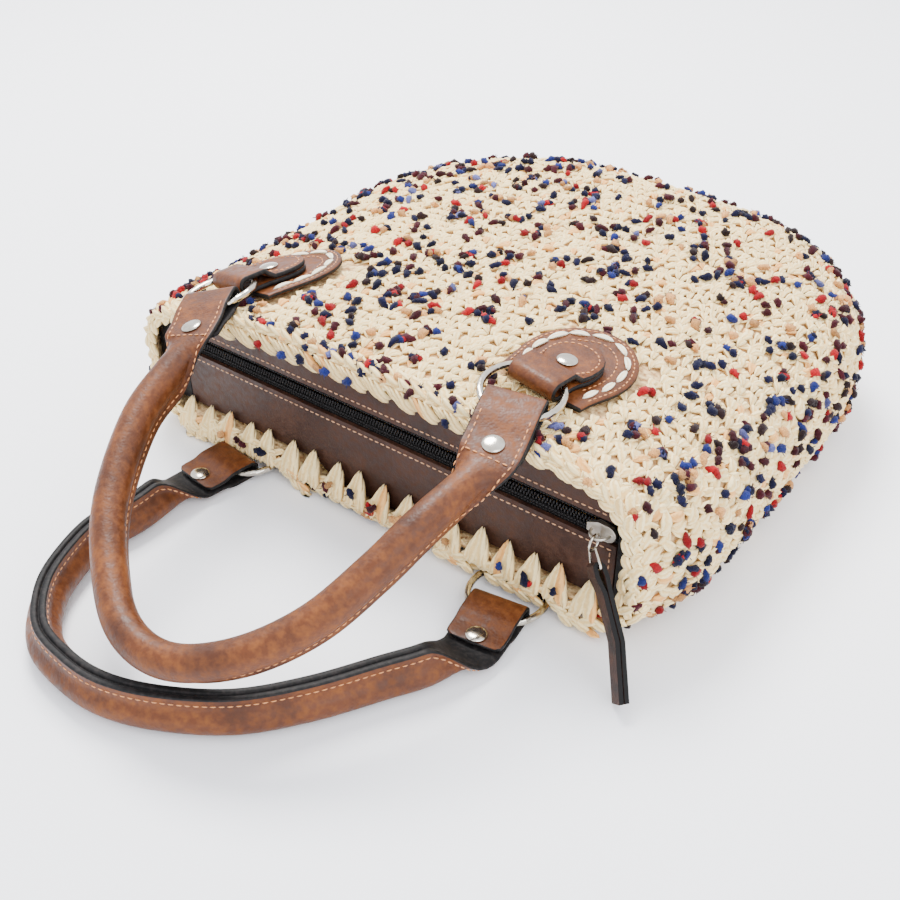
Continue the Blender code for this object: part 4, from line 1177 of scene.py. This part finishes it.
def flat_section():
    """The same leather unrolled: outer face, left edge, inner face and right edge."""
    half = HANDLE_STRAP_WIDTH / 2
    outer = [((half - 0.0004) * (1 - 2 * step / 20), 0.0) for step in range(21)]
    left = [(-half, STRAP_LAYER * 0.22), (-half, STRAP_LAYER * 0.5), (-half, STRAP_LAYER * 0.78)]
    inner = [(-half * 0.7, STRAP_LAYER), (0.0, STRAP_LAYER), (half * 0.7, STRAP_LAYER)]
    right = [(half, STRAP_LAYER * 0.78), (half, STRAP_LAYER * 0.5), (half, STRAP_LAYER * 0.22)]
    return outer + left + inner + right


class Cross(NamedTuple):
    """Directions at a station."""
    position: Vector
    side: Vector
    out: Vector
    blend: float


def handle_crosses(names, points, reach, drop, outward):
    first, second = [end_stations(ENDS[name], HANDLE_RIVETS[name]) for name in names]
    last = list(reversed(second))
    stations = first + loop_stations(first[-1], last[0], points, reach, drop, outward) + last
    crosses = []
    for index, station in enumerate(stations):
        before = stations[max(0, index - 1)].position
        after = stations[min(len(stations) - 1, index + 1)].position
        tangent = (after - before).normalized()
        out = (station.outward - tangent * station.outward.dot(tangent)).normalized()
        crosses.append(Cross(station.position, out.cross(tangent), out, station.blend))
    return crosses


def make_handle(name, crosses):
    """Rolled handle with flat folded ends and black edges."""
    flat, tube = flat_section(), tube_section()
    rings = []
    for cross in crosses:
        ring = []
        for (flat_side, flat_depth), (tube_side, tube_depth) in zip(flat, tube):
            sideways = mix(flat_side, tube_side, cross.blend)
            depth = mix(flat_depth, tube_depth, cross.blend)
            ring.append(cross.position + cross.side * sideways - cross.out * depth)
        rings.append(ring)
    kinds = [TAN_FACE] * 20 + [BLACK_FACE] * 10
    mesh = ring_mesh(name + "_skin", rings, kinds)
    piece = add_piece(name + "_skin", mesh, (TAN, EDGE), (name,))
    rounding = piece.modifiers.new("smooth", "SUBSURF")
    rounding.levels = 1
    rounding.render_levels = 1


# Thread and running stitches

FIRST_SEAM_STATION = 19
END_ROW_STATION = 24
PANEL_SEAM_INSET = 0.0028
PANEL_SEAM_RETURN = 0.012
PATCH_SEAM_INSETS = (0.0019, 0.0098)
RUNNING_INSET = 0.0056
RUNNING_PITCH = 0.0110
RUNNING_LENGTHS = (0.0104, 0.0128)
RUNNING_TURN = 0.12

# Pitch, length and width of seam stitches, on long seams and on the tabs
LONG_SEAM = (0.0034, 0.0026, 0.0007)
TAB_SEAM = (0.0031, 0.0024, 0.0007)


def add_dashes(batch, trail, seam, tint):
    """Single stitches along a trail of (point, normal) pairs."""
    pitch, length, width = seam
    for spot in even_steps(trail, pitch, pitch / 2):
        shade = random.uniform(0.85, 1.12)
        batch.add(spot.point, spot.direction, spot.normal, (length, width, width * 0.8),
                  tuple(channel * shade for channel in tint))


def handle_seam(batch, crosses):
    """Seam stitches on both sides of a handle, from fold to fold, and a row across each flat end."""
    half, depth = HANDLE_STRAP_WIDTH / 2 - 0.0028, SEAM_DEPTH - 0.0034
    last = len(crosses)
    for index in (END_ROW_STATION, last - 1 - END_ROW_STATION):
        cross = crosses[index]
        edges = [(cross.position + cross.side * (half * hand), cross.out) for hand in (-1.0, 1.0)]
        add_dashes(batch, edges, LONG_SEAM, THREAD)
    for hand in (-1.0, 1.0):
        trail = []
        for index, cross in enumerate(crosses):
            if index < FIRST_SEAM_STATION or index > last - 1 - FIRST_SEAM_STATION:
                continue
            sideways = mix(half, SEAM_HALF_WIDTH, cross.blend)
            down = mix(0.0, depth, cross.blend)
            normal = (cross.out * (1.0 - cross.blend) + cross.side * hand * cross.blend).normalized()
            bulge = 0.0022 * math.sin(math.pi * cross.blend)
            place = cross.position + cross.side * (hand * (sideways + bulge)) - cross.out * down
            trail.append((place, normal))
        add_dashes(batch, trail, LONG_SEAM, THREAD)


def strap_line(batch, tab):
    """Stitch line near the strap's edge: up one side, round the head and back."""
    high = -FOLD_RADIUS + 2 * STRAP_LAYER + CLEARANCE
    inset = 0.0027
    radius = TAB_HEAD_WIDTH / 2 - inset
    head = TAB_REACH - TAB_HEAD_WIDTH / 2
    side = [(RING_REACH + 0.003, -(TAB_WIDTH / 2 - inset)), (RIVET_REACH, -radius), (head, -radius)]
    arc = []
    for degrees in range(-75, 76, 15):
        angle = math.radians(degrees)
        arc.append((head + radius * math.cos(angle), radius * math.sin(angle)))
    route = side + arc + [(along, -across) for along, across in reversed(side)]
    trail = []
    for along, across in route:
        climb = smooth((along - RING_REACH) / (RIVET_REACH - RIVET_MARGIN - RING_REACH))
        level = mix(FOLD_RADIUS, high, climb)
        trail.append((tab.at(along, across, level), tab.out))
    add_dashes(batch, trail, TAB_SEAM, THREAD)


def patch_trail(tab, inset, first_share, last_share):
    """Line inside the shield's edge, from one front corner round the end to the other."""
    trail = []
    steps = 60
    for step in range(steps + 1):
        share = mix(first_share, last_share, step / steps)
        if abs(share - 0.5) > 0.25:
            run = (0.5 - abs(share - 0.5)) / 0.25
            along = PATCH_SETBACK + inset + (PATCH_LENGTH * 0.45 - inset) * run
            across = math.copysign(patch_half_width(along) - inset, share - 0.5)
        else:
            angle = 2.0 * math.pi * (share - 0.5)
            reach = PATCH_LENGTH * 0.55 - inset
            along = PATCH_SETBACK + PATCH_LENGTH - inset - reach + reach * math.cos(angle)
            across = (PATCH_WIDTH / 2 - inset) * math.sin(angle)
        trail.append((tab.at(along, across, patch_level(tab, along, across)), tab.out))
    return trail


def make_threads():
    """Every thin seam stitch of the leather, in one piece."""
    batch = Strands(DASH)
    for tab in TABS.values():
        strap_line(batch, tab)
        for inset in PATCH_SEAM_INSETS:
            add_dashes(batch, patch_trail(tab, inset, 0.03, 0.97), TAB_SEAM, THREAD)
    left, right = PANEL_LEFT + PANEL_SEAM_INSET, PANEL_RIGHT - PANEL_SEAM_INSET
    for side in (-1.0, 1.0):
        near = ZIP_HEIGHT + side * (ZIP_OPENING / 2 + PANEL_SEAM_INSET)
        far = near + side * PANEL_SEAM_RETURN
        corners = [(left, far), (left, near), (right, near), (right, far)]
        trail = [(Vector((x, PANEL_FACE, z)), OUT_OF_MOUTH) for x, z in corners]
        add_dashes(batch, trail, LONG_SEAM, THREAD_ON_DARK)
    return batch


def make_running_stitches():
    """Thick pale yarn in long running stitches round each patch."""
    batch = Strands(ROPE)
    for tab in TABS.values():
        trail = patch_trail(tab, RUNNING_INSET, 0.05, 0.95)
        for spot in even_steps(trail, RUNNING_PITCH, RUNNING_PITCH / 2):
            along = spot.turned(random.normal(0.0, RUNNING_TURN))
            size = (random.uniform(*RUNNING_LENGTHS), 0.0031, 0.0026)
            batch.add(spot.point, along, spot.normal, size, WHITE_YARN)
    join_strands("patch_yarn", (batch,), YARN)


# Zip

def make_zip():
    """Two rows of interlocked teeth, and ribbed cords beside them on each tape."""
    teeth = Strands(TOOTH)
    low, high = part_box("zip_teeth")
    pitch = 0.0016
    count = int((high.x - low.x) / pitch)
    face = low.y + 0.0009
    for number in range(count):
        x = low.x + pitch * (number + 0.5)
        for side in (-1.0, 1.0):
            place = Vector((x + pitch * 0.25 * side, face, ZIP_HEIGHT + side * 0.0009))
            teeth.add(place, UP, OUT_OF_MOUTH, (0.0030, 0.0011, 0.0018), (1.0, 1.0, 1.0))
    cords = Strands(TOOTH)
    tape_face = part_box("zip_tape_back")[0].y - 0.0002
    lean = Vector((0.35, 0.0, 1.0)).normalized()
    for offset, width in ((0.0033, 0.0011), (0.0050, 0.0009)):
        for side in (-1.0, 1.0):
            for number in range(count):
                place = Vector((low.x + pitch * (number + 0.5), tape_face, ZIP_HEIGHT + side * offset))
                cords.add(place, lean, OUT_OF_MOUTH, (width * 1.25, 0.0015, 0.0011), (1.0, 1.0, 1.0))
    join_strands("zip_teeth_row", (teeth,), ZIP_GLOSS, ("zip_teeth",))
    join_strands("zip_cords", (cords,), ZIP_GLOSS)


# CAD nodes that stay

def dress(name, materials, levels=0, bevel=0.0):
    """Gives a kept node its materials, and rounds it without a change to its mesh."""
    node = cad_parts[name]
    node.data.materials.clear()
    for material in materials:
        node.data.materials.append(material)
    weld = node.modifiers.new("weld", "WELD")
    weld.merge_threshold = 1e-5
    if bevel:
        soften = node.modifiers.new("soften", "BEVEL")
        soften.width = bevel
        soften.segments = 3
        soften.limit_method = "ANGLE"
        soften.angle_limit = math.radians(40)
        node.modifiers.new("even", "WEIGHTED_NORMAL")
    if levels:
        rounding = node.modifiers.new("round", "SUBSURF")
        rounding.levels = levels
        rounding.render_levels = levels


def dress_nodes():
    for side in SIDES:
        dress("ring_" + side, (NICKEL,), levels=1)
        dress("tab_rivet_" + side, (NICKEL,), levels=2)
        dress("handle_rivet_" + side, (NICKEL,), levels=2)
    dress("pull_ring", (NICKEL,), levels=2)
    dress("pull_link", (NICKEL,), levels=2)
    dress("zip_slider", (SATIN,), bevel=0.0003)
    for name in ("front", "back"):
        dress("zip_panel_" + name, (BROWN,), bevel=0.0005)
        dress("zip_tape_" + name, (ZIP_CLOTH,))
    # Black on the end trims: partly the leather's black edge, partly painted shade for the shadow beside it
    for name in ("left", "right"):
        dress("end_trim_" + name, (EDGE,), bevel=0.0005)
    dress("pull_tab", (pull_material(pull_side()),), bevel=0.0004)


def pull_side():
    """The pull's sideways direction: across its two layers' cut edges."""
    lean, heading = math.radians(43.0), math.radians(-39.0)
    down = Vector((math.sin(lean) * math.cos(heading), math.sin(lean) * math.sin(heading), -math.cos(lean)))
    return down.cross(Vector((-math.sin(heading), math.cos(heading), 0.0)))


# Stage, light and camera

def make_stage():
    mesh_data = bmesh.new()
    bmesh.ops.create_grid(mesh_data, x_segments=2, y_segments=2, size=4.0)
    mesh = bpy.data.meshes.new("floor")
    mesh_data.to_mesh(mesh)
    mesh_data.free()
    floor = bpy.data.objects.new("floor", mesh)
    bpy.context.scene.collection.objects.link(floor)
    floor.location.z = -0.0004
    look = Look("pale_floor", linear(249, 250, 254), {"Roughness": 0.9, "Specular IOR Level": 0.1})
    mesh.materials.append(look.material)


SKY_COLOUR = (0.93, 0.95, 1.0, 1.0)
SKY_STRENGTH = 2.25
LIGHT_AIM = Vector((0.0, -0.05, 0.03))

# Name, place, disk size, power and colour of each lamp
LAMPS = (
    ("key", Vector((-0.55, 0.35, 1.25)), 0.7, 46.0, (1.0, 0.98, 0.95)),
    ("fill", Vector((0.9, -0.5, 0.9)), 1.0, 10.0, (0.96, 0.98, 1.0)),
)


def add_lamp(name, place, size, power, colour):
    light = bpy.data.lights.new(name, "AREA")
    light.shape = "DISK"
    light.size = size
    light.energy = power
    light.color = colour
    lamp = bpy.data.objects.new(name, light)
    bpy.context.scene.collection.objects.link(lamp)
    lamp.location = place
    lamp.rotation_mode = "QUATERNION"
    lamp.rotation_quaternion = (LIGHT_AIM - place).to_track_quat("-Z", "Y")


def make_light():
    world = bpy.data.worlds.new("studio")
    world.use_nodes = True
    background = world.node_tree.nodes["Background"]
    background.inputs["Color"].default_value = SKY_COLOUR
    background.inputs["Strength"].default_value = SKY_STRENGTH
    bpy.context.scene.world = world
    for lamp in LAMPS:
        add_lamp(*lamp)


CAMERA_TURN = 37.2
CAMERA_DIP = 37.0
CAMERA_ROLL = 0.3
CAMERA_PLACE = Vector((0.3026, -0.4764, 0.3791))
FOCAL_PIXELS = 1192.3
PICTURE_PIXELS = 900
SENSOR = 36.0


def make_camera():
    turn, dip, roll = (math.radians(value) for value in (CAMERA_TURN, CAMERA_DIP, CAMERA_ROLL))
    ahead = Vector((-math.sin(turn) * math.cos(dip), math.cos(turn) * math.cos(dip), -math.sin(dip)))
    right = Vector((math.cos(turn), math.sin(turn), 0.0))
    down = ahead.cross(right)
    image_x = right * math.cos(roll) + down * math.sin(roll)
    image_down = down * math.cos(roll) - right * math.sin(roll)
    camera_data = bpy.data.cameras.new("camera")
    camera_data.sensor_width = SENSOR
    camera_data.lens = FOCAL_PIXELS / PICTURE_PIXELS * SENSOR
    camera_data.clip_start = 0.01
    camera_data.clip_end = 20.0
    camera = bpy.data.objects.new("camera", camera_data)
    bpy.context.scene.collection.objects.link(camera)
    matrix = Matrix((image_x, -image_down, -ahead)).transposed().to_4x4()
    matrix.translation = CAMERA_PLACE
    camera.matrix_world = matrix
    bpy.context.scene.camera = camera


def build():
    make_camera()
    make_stage()
    make_light()
    dress_nodes()
    make_shell()
    panels = make_panels()
    gusset = make_gusset()
    rim = make_rim()
    edges = [Spot(point, normal, ACROSS_MOUTH) for point, normal in rim[::12]]
    edges += make_points() + make_scallops()
    make_nubs(panels, gusset, edges)
    threads = make_threads()
    for name, tab in TABS.items():
        make_patch(name, tab)
        make_strap(name, tab)
    make_running_stitches()
    tilt = Vector((0.0, -FRONT_SLOPE, 1.0)).normalized()
    front = handle_crosses(("front_right", "front_left"), FRONT_LOOP, FRONT_REACH, FRONT_DROP, tilt)
    rear_drop = ENDS["rear_right"].centre.z - STRAP_LAYER - 2 * CLEARANCE
    rear = handle_crosses(("rear_right", "rear_left"), REAR_LOOP, REAR_REACH, rear_drop, -UP)
    for name, crosses in (("handle_front", front), ("handle_rear", rear)):
        make_handle(name, crosses)
        handle_seam(threads, crosses)
    join_strands("seam_threads", (threads,), THREADS)
    make_zip()


build()
